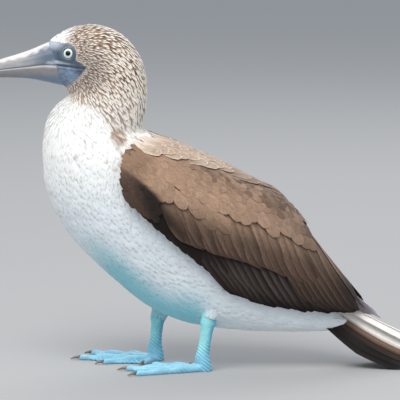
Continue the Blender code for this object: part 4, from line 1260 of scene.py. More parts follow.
@dataclass
class Wing:
    """One folded wing: its bed, its flight feathers and coverts."""

    form: Form
    side: int
    name: str
    seed: int = 21
    far_reach: Pair = (0.0230, -0.0120)
    far_root: Pair = (0.0180, 0.0120)
    bed: Pair = (-0.0045, -0.0100)
    # Pale lavender for the far primaries where they show past the near wing: painted sheen and sky
    # light on feathers that lie in shade.
    far_sheen: dict[str, Triple | float] = field(default_factory=lambda: dict(
        base=(226, 220, 232), rim=(176, 166, 172), outer=(240, 236, 246), tip=0.0, groove=0.1))

    def mirrored(self, a: Array) -> Array:
        """Angles on this wing's own side."""
        return a if self.side < 0 else math.pi - a

    @staticmethod
    def over_edge(x: Array, z: Array) -> Array:
        """Height in side view over the panel's lower edge."""
        return z - np.interp(x, PANEL_X, PANEL_Z)

    def paint(self, laid: Laid, tier: Tier, gap: Array, draw: Draw) -> Array:
        """Colours of a tier.

        Args:
            laid: its feathers.
            tier: its colours and shares.
            gap: width of each feather that its neighbour leaves open.
            draw: the source of random values.

        Returns:
            One colour for each vertex: painted shadow by the neighbour's edge, a paler streak that is
                partly the feather's grey edge and partly painted sheen, and a rim.
        """
        n = len(laid.width)
        u, v = laid.u, laid.v * (1 if self.side < 0 else -1)
        base, rim, outer = (srgb(*c) for c in (tier.base, tier.rim, tier.outer))
        seen = 1 - (1 - v) * (laid.width / 2 / gap)[:, None, None]
        # Painted shadow on the vane beside the neighbour's overlapping edge.
        groove = tier.groove * smooth(0.42, 0.05, seen) * smooth(0.2, 0.5, u)
        vane = base * (1 - groove)[..., None]
        # A paler streak on the open vane: partly the feather's grey edge, partly painted sheen,
        # strongest on a tier's middle feathers.
        streak = smooth(0.25, 0.5, seen) * smooth(1.0, 0.85, seen) * smooth(0.25, 0.5, u)
        order = np.linspace(0, 1, n)
        strength = draw.uniform(0.5, 1.0, n) * (0.35 + 0.65 * np.sin(math.pi * order ** 0.8))
        streak = streak * smooth(0.92, 0.70, u) * tier.pale * strength[:, None, None]
        vane = mix(vane, outer, streak)
        vane = vane * (1 - 0.3 * tier.tip * smooth(0.4, 0.9, u))[..., None]
        vane = mix(vane, rim, 0.8 * smooth(0.86, 0.96, seen))
        vane = mix(vane, vane * 0.42, tier.tip * smooth(0.80, 0.95, u))
        if tier.fade:
            vane = mix(vane, self.tone(laid.points), tier.fade * smooth(0.80, 0.45, u)
                       * (1 - 0.5 * smooth(0.30, 0.05, seen)))
        return vane * (1 + draw.normal(0, tier.spread, n))[:, None, None, None]

    def tier(self, tier: Tier, draw: Draw) -> Laid:
        """The laid feathers of one tier."""
        s = np.linspace(0, 1, tier.count)
        roots, tips = through(tier.roots, s), through(tier.tips, s)
        run = unit(tips - roots)
        tips = tips + run * draw.uniform(-0.0018, 0.0018, tier.count)[:, None]
        if self.side > 0 and tier is WingTiers.PRIMARIES.value:
            tips = tips + s[:, None] * np.array(self.far_reach)
            roots = roots + s[:, None] * np.array(self.far_root)
            # The far primaries take the pale painted sheen.
            tier = replace(tier, **self.far_sheen)
        steps = tier.kind.value.stations
        f = np.linspace(0, 1, steps + 1)
        line = roots[:, None] * (1 - f)[None, :, None] + tips[:, None] * f[None, :, None]
        bow = 0.006 * np.sin(math.pi * f)[None, :, None] * np.array([-run[:, 1], run[:, 0]]).T[:, None]
        line = line - bow * np.linalg.norm(tips - roots, axis=1)[:, None, None]
        found = self.form.find(line[..., 0].ravel(), line[..., 1].ravel())
        path_t, path_a = (
            np.array([Polynomial.fit(f, row, 3)(f) for row in seen.reshape(tier.count, -1)])
            for seen in found)
        width = tier.width * draw.uniform(0.94, 1.06, tier.count)
        roll = (tier.roll + draw.normal(0, 0.006, tier.count)) * (-1 if self.side < 0 else 1)

        def height(u: Array) -> Array:
            """Height over the wing's face, sunk at the root."""
            return np.broadcast_to(tier.lift - tier.sink * (1 - u[None]) ** 2, (tier.count, u.size))

        laid = lay(self.form, path_t, self.mirrored(path_a), tier.kind, width, height, roll, draw)
        middle = line[:, steps * 2 // 3]
        step = np.gradient(middle, axis=0)
        gap = np.abs(step[:, 0] * run[:, 1] - step[:, 1] * run[:, 0])
        laid.colours = self.paint(laid, tier, np.maximum(gap, 0.002), draw)
        return laid

    def tone(self, points: Array) -> Array:
        """Colour of the wing's small feathers by place.

        Args:
            points: places on the wing.

        Returns:
            Pale brown on the panel, darker behind and below, near black along its front edge, partly
            the dark feathers' own colour and partly painted shade under the panel.
        """
        px, py = Paint.pixels(points, self.form.shift)
        line = np.interp(py, [150, 165, 178, 194, 206, 243], [108, 120, 139, 158, 167, 190])
        front = smooth(2, -5, px - line) * smooth(158, 172, py)
        low = np.interp(px, [138, 165, 180, 210, 250, 290, 312, 326, 352],
                        [190, 206, 212, 222, 235, 250, 254, 268, 300]) - py
        past = px - np.interp(py, [160, 180, 200, 215, 240], [126, 130, 137, 142, 160])
        # Near black along the front edge: partly the dark hand feathers' own colour, partly painted
        # shade under the panel's edge.
        dark = mix(Paint.MARGIN, Paint.NIGHT, smooth(-2, 14, past) * smooth(170, 188, py))
        return layered(
            Paint.COVERT_FRONT,
            (Paint.COVERT, smooth(138, 165, px + 0.4 * (py - 165))),
            (Paint.COVERT_REAR, smooth(215, 300, px)),
            (Paint.COVERT_LOW, smooth(14, -12, low)),
            (mix(Paint.COVERT_LOW, dark, smooth(166, 186, py)), front))

    def coverts(self, outline: list[Pair], gap: float, size: Pair,
                lift: float, slope: Pair, thin: float,
                draw: Draw) -> Laid:
        """Small feathers spread over a part of the wing, longer towards its lower edge.

        Args:
            outline: the part, in side view.
            gap: distance between neighbours where they are smallest.
            size: length and width where they are smallest.
            lift: height over the wing's face.
            slope: lean below the horizontal at the wing's front and rear, in radians.
            thin: share of the feathers left out along the lower edge.
            draw: the source of random values.

        Returns:
            The laid feathers.
        """
        def growth(points: Array) -> Array:
            """Size at each point as a share of the smallest."""
            x, z = self.form.side(points)
            return 1 + 0.75 * smooth(0.034, 0.0, self.over_edge(x, z)) * smooth(-0.060, -0.030, x)

        def spacing(t: Array, a: Array, points: Array) -> Array:
            """The gap inside the outline, on this side only."""
            own = (points[:, 1] - self.form.shift[1]) * self.side > 0
            chosen = inside(outline, *self.form.side(points)) & own
            return np.where(chosen, gap * growth(points), -1.0)

        t, a = self.form.scatter(spacing, draw)
        order = np.argsort(t)
        t, a = t[order], a[order]
        start = self.form.at(t, a)
        x, z = self.form.side(start)
        last = smooth(0.013, 0.0, self.over_edge(x, z)) * smooth(-0.058, -0.045, x)
        stay = draw.random(len(t)) > thin * last
        t, a, start, last = t[stay], a[stay], start[stay], last[stay]
        n = len(t)
        grow = growth(start)
        lean = np.interp(start[:, 0], (-0.09, 0.10), slope) + draw.normal(0, 0.035, n)

        def way(points: Array, by_t: Array, normal: Array) -> Array:
            """Down and backwards at the covert's own lean."""
            return np.stack([np.cos(lean), np.zeros(n), -np.sin(lean)], 1)

        def height(u: Array) -> Array:
            """Height over the wing's face, sunk at the root."""
            return rise - 0.0013 * (1 - u[None]) ** 1.5 + draw.uniform(0, 0.0001, n)[:, None]

        vary = 0.10 + 0.12 * (grow - 1) + 0.15 * last * thin
        path = march(self.form, t, a, size[0] * grow * draw.uniform(1 - vary, 1 + vary), 8, way)
        wide = size[1] * grow * draw.uniform(0.94, 1.06, n) * (1 - 0.25 * thin * last)
        rise = (lift - 0.0009 * thin * last)[:, None]
        laid = lay(self.form, *path, Kind.COVERT, wide, height, draw.normal(0, 0.02, n), draw)
        px, py = Paint.pixels(start, self.form.shift)
        over = py - np.interp(px, [126, 150, 180, 215, 250, 300], [147, 145, 156, 172, 184, 220])
        # Painted shade under the mantle's lower edge, of a different strength on each covert.
        comb = smooth(16, 4, over) * smooth(150, 200, px) * draw.uniform(0.05, 0.60, n)
        rim = smooth(0.80, 1.0, np.maximum(np.abs(laid.v), (laid.u - 0.02) ** 3))
        colours = self.tone(laid.points) * (1 + 0.16 * rim)[..., None]
        colours = colours * (1 - 0.10 * smooth(0.14, 0.03, np.abs(laid.v)))[..., None]
        shade = (1 + draw.normal(0, 0.055, n)) * (1 - comb)
        laid.colours = colours * shade[:, None, None, None]
        return laid

    def bed_slab(self, finish: Material) -> Object:
        """The wing's own flesh under its feathers, as a closed slab."""
        top = [(-0.090, 0.262), (-0.060, 0.264), (-0.010, 0.246), (0.045, 0.224), (0.088, 0.195),
               (0.113, 0.168), (0.131, 0.142), (0.150, 0.115)]
        low = [(-0.0965, 0.232), (-0.088, 0.208), (-0.064, 0.182), (-0.030, 0.153), (0.005, 0.130),
               (0.045, 0.102), (0.090, 0.087), (0.135, 0.083)]
        (t0, a0), (t1, a1) = self.form.find(*zip(*top)), self.form.find(*zip(*low))
        f = np.linspace(0, 1, 22)[:, None]
        t, a = t0 * (1 - f) + t1 * f, self.mirrored(a0 * (1 - f) + a1 * f)
        columns = np.linspace(0, len(top) - 1, 40)
        t, a = (np.stack([np.interp(columns, range(len(top)), row) for row in v]) for v in (t, a))
        normal, face = self.form.slopes(t, a)[2], self.form.at(t, a)
        upper, lower = ((face + normal * deep).transpose(1, 0, 2) for deep in self.bed)
        item = grid_object(f"wing_bed_{self.name}", np.concatenate([upper, lower[:, ::-1]], 1))
        return painted(item, self.tone(vertices(item)) * 0.8, finish)

    def build(self, finish: Material) -> list[Object]:
        """The wing's pieces."""
        draw = np.random.default_rng(self.seed + self.side)
        flight = [self.tier(tier.value, draw) for tier in WingTiers]
        margin = [(-0.092, 0.258), (-0.0965, 0.252), (-0.0985, 0.236), (-0.0960, 0.220),
                  (-0.0900, 0.209), (-0.072, 0.196), (-0.058, 0.190), (-0.060, 0.208), (-0.074, 0.232),
                  (-0.084, 0.250)]
        panel = [*zip(PANEL_X[:-1], PANEL_Z[:-1]), (0.097, 0.163), (0.108, 0.168), (0.100, 0.188),
                 (0.088, 0.205), (0.044, 0.230), (-0.020, 0.254), (-0.060, 0.270), (-0.082, 0.268),
                 (-0.093, 0.254)]
        coverts = [
            self.coverts(margin, 0.0044, (0.0170, 0.0086), 0.0006, (1.05, 0.9), 0.0, draw),
            self.coverts(panel, 0.0050, (0.0200, 0.0098), 0.0010, (0.98, 0.84), 0.6, draw)]
        return [self.bed_slab(finish), plumage(f"wing_flight_{self.name}", flight, finish),
                plumage(f"wing_coverts_{self.name}", coverts, finish)]


@dataclass
class Mantle:
    """The feathers of back and shoulders, lying over the wings' inner edges."""

    form: Form
    seed: int = 33

    def over_edge(self, points: Array) -> Array:
        """How far above the scapulars' lower edge points lie."""
        x, z = self.form.side(points)
        return z - np.interp(x, [-0.10, -0.065, 0.0, 0.05, 0.09, 0.12, 0.15],
                             [0.262, 0.258, 0.238, 0.218, 0.192, 0.160, 0.120])

    def spacing(self, t: Array, a: Array, points: Array) -> Array:
        """Even gaps over the back, negative where no feathers grow."""
        x, _ = self.form.side(points)
        grown = (self.over_edge(points) > 0) & (x > -0.084) & (x < 0.094) & (t > 0.9)
        return np.where(grown, 0.0074 + 0.0016 * smooth(-0.05, 0.06, x), -1.0)

    def build(self, finish: Material) -> Object:
        """The mantle and scapulars of both sides."""
        draw = np.random.default_rng(self.seed)
        t, a = self.form.scatter(self.spacing, draw)
        order = np.argsort(-t)
        t, a = t[order], a[order]
        n = len(t)
        start = self.form.at(t, a)
        x, _ = self.form.side(start)
        big = smooth(-0.06, 0.05, x)
        side = np.sign(start[:, 1] - self.form.shift[1])
        low = smooth(0.020, 0.0, self.over_edge(start))
        lean = side * (0.10 + 0.22 * low) + draw.normal(0, 0.07, n)

        def way(points: Array, by_t: Array, normal: Array) -> Array:
            """Backwards along the back, a little outwards."""
            return turned(unit(by_t), normal, -lean)

        length = (0.027 + 0.012 * big - 0.018 * smooth(0.045, 0.090, x)) * draw.uniform(0.9, 1.1, n)
        end, crest = smooth(0.050, 0.090, x), np.abs(start[:, 1] - self.form.shift[1])
        front = smooth(-0.055, -0.074, x) * smooth(0.024, 0.010, crest)
        rise, sink = (0.0026 - 0.0014 * end)[:, None], (0.0026 + 0.0020 * front)[:, None]

        def height(u: Array) -> Array:
            """Height over the back, sunk at the root."""
            return rise - sink * (1 - u[None]) ** 1.5 + draw.uniform(0, 0.0004, n)[:, None]

        path = march(self.form, t, a, length, 8, way)
        width = (0.0150 + 0.0020 * big) * draw.uniform(0.9, 1.1, n)
        laid = lay(self.form, *path, Kind.COVERT, width, height, draw.normal(0, 0.03, n), draw)
        rear = smooth(-0.02, 0.05, x)
        base = mix(Paint.MANTLE, Paint.SCAPULAR, np.clip(rear + draw.normal(0, 0.12, n), 0, 1))
        px, py = Paint.pixels(laid.points, self.form.shift)
        shoulder = 0.75 * smooth(172, 140, px + 1.2 * (py - 138))
        colours = mix(base[:, None, None], Paint.SHOULDER, shoulder)
        deep = 0.30 * smooth(-0.055, -0.02, x)
        colours = colours * (1 - deep[:, None, None] * smooth(0.75, 0.45, laid.u))[..., None]
        rim = mix(mix(Paint.FRINGE, Paint.WHITE, 0.6 * draw.random(n)), Paint.COVERT, 0.7 * rear)
        edge = smooth(0.80, 1.0, np.maximum(np.abs(laid.v), laid.u ** 3))
        colours = mix(colours, rim[:, None, None], 0.85 * edge)
        laid.colours = colours * (1 - 0.18 * smooth(0.14, 0.02, np.abs(laid.v)))[..., None]
        return plumage("mantle", [laid], finish)


@dataclass
class Tail:
    """The folded tail, a roof of flight feathers on each side of a ridge."""

    shift: Vector
    ridge: tuple[Pair, ...] = ((0.1660, 0.0690), (0.2230, 0.0408), (0.2870, 0.0095))
    pitch: Row = (54.0, 46.0, 28.0, 8.0)
    middle_pitch: float = 18.0
    feathers: int = 6
    width: float = 0.021
    step: float = 0.0072
    drop: float = 0.0014
    reach: float = 0.62
    root: float = -0.06
    root_step: float = 0.045
    floor: float = 0.0010
    seed: int = 3

    def ridge_at(self, t: Array) -> Array:
        """Points of the ridge at t of its length."""
        flat = through(self.ridge, t)
        return np.stack([flat[..., 0], np.zeros_like(t), flat[..., 1]], -1) + np.array(self.shift)

    def build(self, finish: Material) -> Object:
        """All tail feathers in one piece."""
        draw = np.random.default_rng(self.seed)
        vane = Kind.FLIGHT.value
        rows, v = vane.stations, np.array(vane.columns)
        u = np.linspace(0, 1, rows + 1)[:, None] * (1 - vane.tip_cut * np.abs(v) ** vane.tip_power)
        parts = []
        for side in (-1, 1):
            for n in range(self.feathers):
                share = n / (self.feathers - 1)
                reach = 1.0 - (1.0 - self.reach) * share ** 1.3 + draw.uniform(-0.01, 0.01)
                start = self.root - self.root_step * n
                along = start + (reach - start) * u
                pitch = np.interp(along, (0.0, 0.5, 0.8, 1.0), self.pitch)
                pitch = np.radians(pitch if n else np.full_like(pitch, self.middle_pitch))
                slope = np.stack([np.zeros_like(u), side * np.cos(pitch), -np.sin(pitch)], -1)
                ahead = unit(self.ridge_at(along + 0.01) - self.ridge_at(along - 0.01))
                out = unit(np.cross(slope, ahead) * side)
                out = np.where(out[..., 2:] < 0, -out, out)
                fan = 0.70 + 0.30 * np.minimum(1, u * 2.4)
                width = self.width * draw.uniform(0.96, 1.04)
                half = vane.width(np.linspace(0, 1, rows + 1))[:, None] * v * width / 2
                offset = (self.width * 0.30 + self.step * n) * fan + half
                lift = -self.drop * (n + 0.6) + vane.camber * (1 - v ** 2) * width / 2 - 0.04 * half
                points = self.ridge_at(along) + slope * offset[..., None] + out * lift[..., None]
                points[..., 2] = np.maximum(points[..., 2], self.floor + 0.0004 * (1 - v ** 2))
                length = np.array([np.linalg.norm(points[-1, 3] - points[0, 3])])
                spot = np.array([[0.97, 0.5 + 0.02 * side * (n + 1)]])
                laid = Laid(vane, points[None], u[None], np.broadcast_to(v, u.shape)[None], length,
                            np.array([width]), spot, draw.random(1))
                laid.colours = self.colour(n, u[None], laid.v)
                if side < 0:
                    flip = slice(None, None, -1)
                    laid.points, laid.u, laid.v, laid.colours = (
                        q[:, :, flip] for q in (laid.points, laid.u, laid.v, laid.colours))
                parts.append(laid)
        return plumage("tail_feathers", parts, finish)

    def colour(self, n: int, u: Array, v: Array) -> Array:
        """Colours of the nth feather from the middle: white, then tan, then near black."""
        white, tan, dark = srgb(244, 240, 235), srgb(128, 102, 85), srgb(19, 15, 13)
        base = {0: white, 1: white, 2: srgb(128, 103, 87), 3: srgb(52, 41, 34)}.get(n, dark)
        low = smooth(0.6 if n < 2 else 0.3, 1.0, v)
        out = mix(base, tan if n < 2 else dark, (0.7 if n else 0.12) * low)
        if n > 2:
            stripe = 0.5 + 0.5 * np.sin(v * 9 + n) * np.cos(u * 5 + 2 * n)
            out = mix(out, srgb(56, 45, 39), 0.5 * smooth(0.6, 1.0, stripe))
        return out * (1 - (0.10 if n < 2 else 0.35) * smooth(0.10, 0.0, np.abs(v)))[..., None]


@dataclass
class Bill:
    """The shut bill: two horny mandibles with their grooves and a bare throat edge."""

    shift: Vector
    rings: int = 150
    half_sides: int = 40
    mouth_gap: float = 0.0004
    tuck: float = 0.0012

    def points(self, upper: bool) -> Array:
        """Rings of one mandible."""
        rows = np.array(BILL_SECTIONS if upper else BILL_SECTIONS[:-1])
        rows = np.concatenate([rows, np.zeros((len(rows), 1))], 1)
        t = np.linspace(0, len(rows) - 1, self.rings)
        row = catmull(rows, t)
        half = (row[:, 0:2] - row[:, 2:4]) / 2
        reach = np.linalg.norm(half, axis=1)
        middle = (row[:, 0:2] + row[:, 2:4]) / 2
        level = 1 - 2 * row[:, 5] + self.mouth_gap / 2 / reach * (1 if upper else -1)
        start = np.arcsin(np.clip(level, -0.95, 0.95))
        end = math.pi - start if upper else -math.pi - start
        k = np.linspace(0, 1, self.half_sides + 1)
        angle = start[:, None] + (end - start)[:, None] * k
        down = np.abs(k * 2 - 1)[None]  # 1 at the mouth, 0 at the culmen or the chin
        way = t[:, None] / t[-1]
        if upper:
            carve = -0.00050 * np.exp(-((down - 0.50) / 0.045) ** 2) * smooth(1.0, 0.55, way)
            carve = carve + 0.00035 * np.exp(-(down / 0.22) ** 2)
            carve = carve + 0.00030 * smooth(0.93, 1.0, down)
        else:
            carve = -0.00045 * np.exp(-((down - 0.42) / 0.045) ** 2) * smooth(0.85, 0.2, way)
            ripple = 0.00022 * np.sin(down * 46) * smooth(0.40, 0.25, down)
            carve = carve + ripple * smooth(0.5, 0.1, way)
        carve = carve * np.minimum(1, reach / reach[0] * 1.6)[:, None] - 0.0003 * smooth(0.10, 0.0, way)
        s, c = np.sin(angle), np.cos(angle)
        rise = s * (reach[:, None] + carve)
        flat = middle[:, None] + (half / reach[:, None])[:, None] * rise[..., None]
        y = -c * (row[:, 4][:, None] + carve)
        out = np.stack([flat[..., 0], y, flat[..., 1]], -1)
        out[0, :, 0] += self.tuck
        return out + np.array(self.shift)

    def colours(self, points: Array, upper: bool) -> Array:
        """Colours by place: whitish culmen, slate sides, pale band over the mouth."""
        rings, wide = points.shape[:2]
        down = np.abs(np.linspace(-1, 1, wide))[None] * np.ones((rings, 1))
        x = points[..., 0] - self.shift[0]
        near = smooth(-0.214, -0.178, x)
        low = np.interp(x, [-0.235, -0.205, -0.165], [0.3290, 0.3368, 0.3388])
        blotch = grain(points.reshape(-1, 3), 160.0, 1.0).reshape(rings, wide)
        if upper:
            side = mix(Paint.HORN * 0.74, Paint.FACE * (1.16, 1.20, 1.22), near)
            band = smooth(0.72, 0.84, down) * smooth(0.99, 0.93, down)
            out = layered(
                Paint.CULMEN,
                (side, smooth(0.32 - 0.08 * near, 0.62 - 0.18 * near, down + 0.12 * blotch)),
                (srgb(170, 176, 190), band * 0.4 * (1 - 0.7 * near)),
                (Paint.STRIP * 0.9, 0.9 * Paint.strip(points, np.array(self.shift))),
                (srgb(92, 68, 58), smooth(0.93, 0.985, down) * 0.9 * smooth(-0.172, -0.19, x)))
        else:
            out = layered(
                Paint.GULAR,
                (Paint.PLATE, smooth(-0.0006, 0.0008, points[..., 2] - low)),
                (srgb(224, 224, 224), smooth(0.90, 0.97, down) * 0.7))
        return out * (1 + 0.08 * blotch)[..., None]

    def build(self, finish: Material) -> list[Object]:
        """Both mandibles."""
        made = []
        for name, upper in (("beak_upper", True), ("beak_lower", False)):
            rings = self.points(upper)
            item = painted(grid_object(name, rings), self.colours(rings, upper), finish)
            item.data.set_sharp_from_angle(angle=math.radians(50))
            made.append(item)
        return made


@dataclass
class Eye:
    """An eyeball with a pale iris, and the bare ring of lids round it."""

    centre: Vector
    gaze: Vector
    name: str
    radius: float = 0.0080
    pupil: float = 0.0030
    iris: float = 0.0060
    lid: float = 0.0069
    lid_half: float = 0.00115

    def ring(self, count: int) -> tuple[Array, Array, Array]:
        """The angles of a ring round the gaze, the ways out at them, and the way of the gaze."""
        turn = circle(count)
        axis = np.array(self.gaze.normalized())
        first = np.array(self.gaze.orthogonal().normalized())
        second = np.cross(axis, first)
        return turn, first * np.cos(turn)[:, None] + second * np.sin(turn)[:, None], axis

    def ball(self, finish: Material) -> Object:
        """The eyeball, its pole along the gaze."""
        rings, around = 72, 72
        polar = math.pi * (np.linspace(0, 1, rings) ** 1.5)
        turn, out, axis = self.ring(around)
        flat = np.sin(polar) * self.radius
        cornea = 0.0007 * smooth(0.0062, 0.0, flat) * (polar < math.pi / 2)
        points = (axis * (np.cos(polar) * self.radius + cornea)[:, None])[:, None]
        points = points + flat[:, None, None] * out[None]
        points[0] = points[0].mean(0) + (points[1] - points[1].mean(0)) * 0.02
        item = grid_object(f"eyeball_{self.name}", points + np.array(self.centre))
        far = np.repeat(flat[:, None], around, 1)
        ray = np.sin(turn * 37)[None] * 0.5 + np.sin(turn * 61 + 1.0)[None] * 0.5
        iris = mix(srgb(208, 226, 226), srgb(236, 246, 244), 0.5 + 0.5 * ray * np.ones_like(far))
        colour = layered(
            srgb(8, 8, 9),
            (iris, smooth(self.pupil - 0.0002, self.pupil + 0.0002, far)),
            (srgb(186, 190, 150), 0.5 * np.exp(-((far - self.pupil - 0.0003) / 0.0003) ** 2)),
            (Paint.RIM_DARK, smooth(self.iris - 0.0003, self.iris + 0.0001, far)))
        colour = np.where((polar > math.pi / 2)[:, None, None], Paint.RIM_DARK, colour)
        return painted(item, colour, finish)

    def lids(self, finish: Material) -> Object:
        """The wrinkled ring of bare skin round the eye."""
        turn, out, axis = self.ring(96)
        over = circle(20)
        ripple = np.sin(turn * 17 + 1.3 * np.sin(turn * 3))
        ripple = ripple + 0.6 * np.sin(turn * 31 + 2 * np.sin(turn * 5))
        crease = 0.00004 * ripple[:, None] * (1 + np.cos(over))[None]
        wide = self.lid_half + crease
        far = self.lid + np.cos(over)[None] * wide
        level = math.sqrt(self.radius ** 2 - 0.0061 ** 2) + 0.0002
        lift = level + np.sin(over)[None] * (wide * 0.85) - 0.10 * (far - self.lid)
        points = np.array(self.centre) + out[:, None] * far[..., None] + axis * lift[..., None]
        item = grid_object(f"lids_{self.name}", np.concatenate([points, points[:1]]))
        shape = bmesh.new()
        shape.from_mesh(item.data)
        caps = [f for f in shape.faces if len(f.verts) > 4]
        bmesh.ops.delete(shape, geom=caps, context="FACES_ONLY")
        bmesh.ops.remove_doubles(shape, verts=shape.verts, dist=1e-7)
        bmesh.ops.recalc_face_normals(shape, faces=shape.faces)
        shape.to_mesh(item.data)
        shape.free()
        item.data.shade_smooth()
        here = vertices(item) - np.array(self.centre)
        flat = np.linalg.norm(here - axis * (here @ axis)[:, None], axis=1)
        tone = mix(srgb(56, 66, 76), srgb(118, 134, 146), smooth(0.0060, 0.0074, flat))
        return painted(item, tone, finish)


@dataclass
class Leg:
    """A bare leg: scaled tarsus, ankle folds, four toes in a web, and claws."""

    name: str
    side: int
    ankle: Vector
    hock: Vector
    heading: float
    toes: tuple[tuple[float, float, float, float], ...] = (
        (22.0, 0.086, 0.0056, 0.0034), (-3.0, 0.090, 0.0056, 0.0034),
        (-30.0, 0.068, 0.0052, 0.0032), (-70.0, 0.036, 0.0044, 0.0026))
    claw: float = 0.0100
    web: float = 0.0021
    front: float = 0.0082
    waist: float = 0.0068
    flatness: float = 0.72
    heel: float = 0.0085
    voxel: float = 0.00075

    def tube(self, name: str, path: Array, wide: Array, high: Array, up: Array,
             sides: int = 24) -> Object:
        """A closed tube of elliptic rings along a path."""
        ahead = unit(np.gradient(path, axis=0))
        across = unit(np.cross(ahead, up))
        rise = np.cross(across, ahead)
        a = circle(sides)
        rings = path[:, None] + across[:, None] * (np.cos(a) * wide[:, None])[..., None]
        rings = rings + rise[:, None] * (np.sin(a) * high[:, None])[..., None]
        rings[..., 2] = np.maximum(rings[..., 2], 0.0)
        return grid_object(name, rings)

    def toe(self, n: int, heel: Array) -> tuple[Object, Object, Array, Array]:
        """The nth toe, its claw, the way it points, and the place where the web meets it."""
        angle, length, root, tip = self.toes[n]
        a = math.radians(angle + self.heading)
        run = np.array([-math.cos(a), self.side * math.sin(a), 0.0])
        s = np.linspace(0, 1, 40)
        joints = 3 if n < 2 else 2
        knuckle = 1 + 0.13 * np.cos(joints * 2 * math.pi * s) + 0.02 * np.cos(s * 210)
        size = (root + (tip - root) * s) * knuckle
        size = size * np.sqrt(1 - 0.80 * np.clip((s - 0.93) / 0.07, 0, 1) ** 2)
        path = heel + run * (length * s)[:, None] + UP * (size * 0.72)[:, None]
        toe = self.tube(f"toe_{n}", path, size, size, UP)
        end, c = heel + run * length, np.linspace(0, 1, 14)
        arch = 0.0030 + 0.0006 * np.sin(c * math.pi) - 0.0020 * c ** 2
        path = end + run * (self.claw * (1.25 * c - 0.25))[:, None] + UP * arch[:, None]
        size = 0.0021 * (1 - c) ** 0.7 + 0.00025
        claw = self.tube(f"claw_{n}", path, size * 0.85, size, UP, 16)
        return toe, claw, run, end - run * 0.004

    def shank(self, heel: Array, ankle: Array, hock: Array) -> Object:
        """The tarsus, from the heel's pad up into the thigh's cuff."""
        s = np.linspace(0, 1, 30)
        spine = np.concatenate([[heel, heel + UP * 0.006], ankle + (hock - ankle) * s[:, None],
                                [hock + unit(hock - ankle) * 0.013]])
        deep = self.waist + (self.front - self.waist) * (2 * s - 1) ** 2
        knob = 1 + 0.10 * np.exp(-((s - 0.97) / 0.08) ** 2) + 0.07 * np.exp(-((s - 0.02) / 0.10) ** 2)
        deep = np.concatenate([[self.heel, self.heel], deep * knob, [self.front * 0.95]])
        flat = np.concatenate([[self.heel * 0.85] * 2, deep[2:-1] * self.flatness, [deep[-1] * 0.7]])
        return self.tube("shank", spine, deep, flat, np.array([0.0, 1.0, 0.0]), 32)

    def build(self, finish: Material, horn: Material) -> tuple[Object, Object]:
        """The leg with its foot, and its claws."""
        heel = np.array([self.ankle.x + 0.002, self.ankle.y, 0.0])
        ankle, hock = np.array(self.ankle), np.array(self.hock)
        toes, claws, runs, tips = zip(*(self.toe(n, heel) for n in range(len(self.toes))))
        parts = [*toes, self.membrane(heel, tips), self.shank(heel, ankle, hock)]
        leg = remeshed(joined(f"leg_{self.name}", parts), self.voxel, 4)
        self.detail(leg, heel, runs, ankle, finish)
        claw = joined(f"claws_{self.name}", claws)
        claw.data.shade_smooth()
        rough = smooth(0.0, 0.6, grain(vertices(claw), 300.0))
        return leg, painted(claw, mix(srgb(128, 118, 112), srgb(92, 84, 80), rough), horn)

    def membrane(self, heel: Array, tips: tuple[Array, ...]) -> Object:
        """The web between the toes, thin and scalloped at its edge."""
        rim = []
        for a, b in zip(tips, tips[1:]):
            for f in np.linspace(0, 1, 12, endpoint=False):
                straight = a + (b - a) * f
                rim.append(heel + (straight - heel) * (1 - 0.10 * math.sin(math.pi * f)))
        rim.append(tips[-1])
        rim = np.array([heel + np.array([0.004, 0, 0])] + rim)
        low, high = rim + UP * 0.0004, rim + UP * (0.0004 + self.web)
        count = len(rim)
        faces = [(0, k, k + 1) for k in range(1, count - 1)]
        faces += [(count, count + k + 1, count + k) for k in range(1, count - 1)]
        faces += [(k, (k + 1) % count, count + (k + 1) % count, count + k) for k in range(count)]
        return solid_object("web", np.concatenate([low, high]), faces)

    def detail(self, leg: Object, heel: Array, runs: tuple[Array, ...], ankle: Array,
               finish: Material) -> None:
        """Scutes on toes and shank, folds at the ankle, a fine grain all over, and the colours."""
        here, out = vertices(leg), normals(leg)
        flat = here - heel
        flat[:, 2] = 0
        near = np.full(len(here), np.inf)
        along = np.zeros(len(here))
        for run in runs:
            s = flat @ run
            gap = np.linalg.norm(flat - run * s[:, None], axis=1)
            closer = (gap < near) & (s > 0)
            near, along = np.where(closer, gap, near), np.where(closer, s, along)
        on_toe = smooth(0.0062, 0.0040, near) * smooth(0.020, 0.012, here[:, 2])
        top = smooth(0.2, 0.7, out[:, 2])
        scute = np.abs(np.sin(along / 0.0021 * math.pi)) ** 0.5 - 0.7
        push = 0.00030 * scute * on_toe * top
        height = here[:, 2] - ankle[2]
        shank = smooth(0.004, 0.014, height)
        band = np.abs(np.sin((here[:, 2] - 0.3 * here[:, 0]) / 0.0030 * math.pi)) ** 0.5 - 0.7
        front = smooth(-0.1, -0.7, out[:, 0])
        push = push + 0.00030 * band * shank * front
        fold_at = (here[:, 2] + 0.8 * (here[:, 0] - heel[0])) / 0.0042
        fold = np.sin(fold_at * 2 * math.pi) * smooth(0.026, 0.012, np.abs(height + 0.002))
        push = push + 0.00042 * (fold * (1 - on_toe))
        push = push + 0.00016 * grain(here, 420.0, 2.0)
        here = here + out * push[:, None]
        here[:, 2] = np.maximum(here[:, 2], 0.0001)
        set_vertices(leg, here)
        foot = smooth(0.030, 0.010, here[:, 2])
        tone = layered(
            srgb(150, 222, 226),
            # Painted shade: bluer and darker on the side that faces back, away from the light.
            (srgb(96, 178, 206), smooth(-0.1, 0.8, out[:, 0])),
            (srgb(138, 200, 224), foot),
            (srgb(117, 187, 219), 0.6 * (foot * (1 - on_toe))),
            (srgb(168, 218, 236), 0.35 * on_toe * top))
        # Painted shade in the hollows of scutes and folds, and painted light on their crests.
        tone = tone * (1 + 0.22 * np.clip(push / 0.0004, -1, 0.5))[:, None]
        painted(leg, tone * (1 + 0.10 * grain(here, 120.0, 5.0))[:, None], finish)


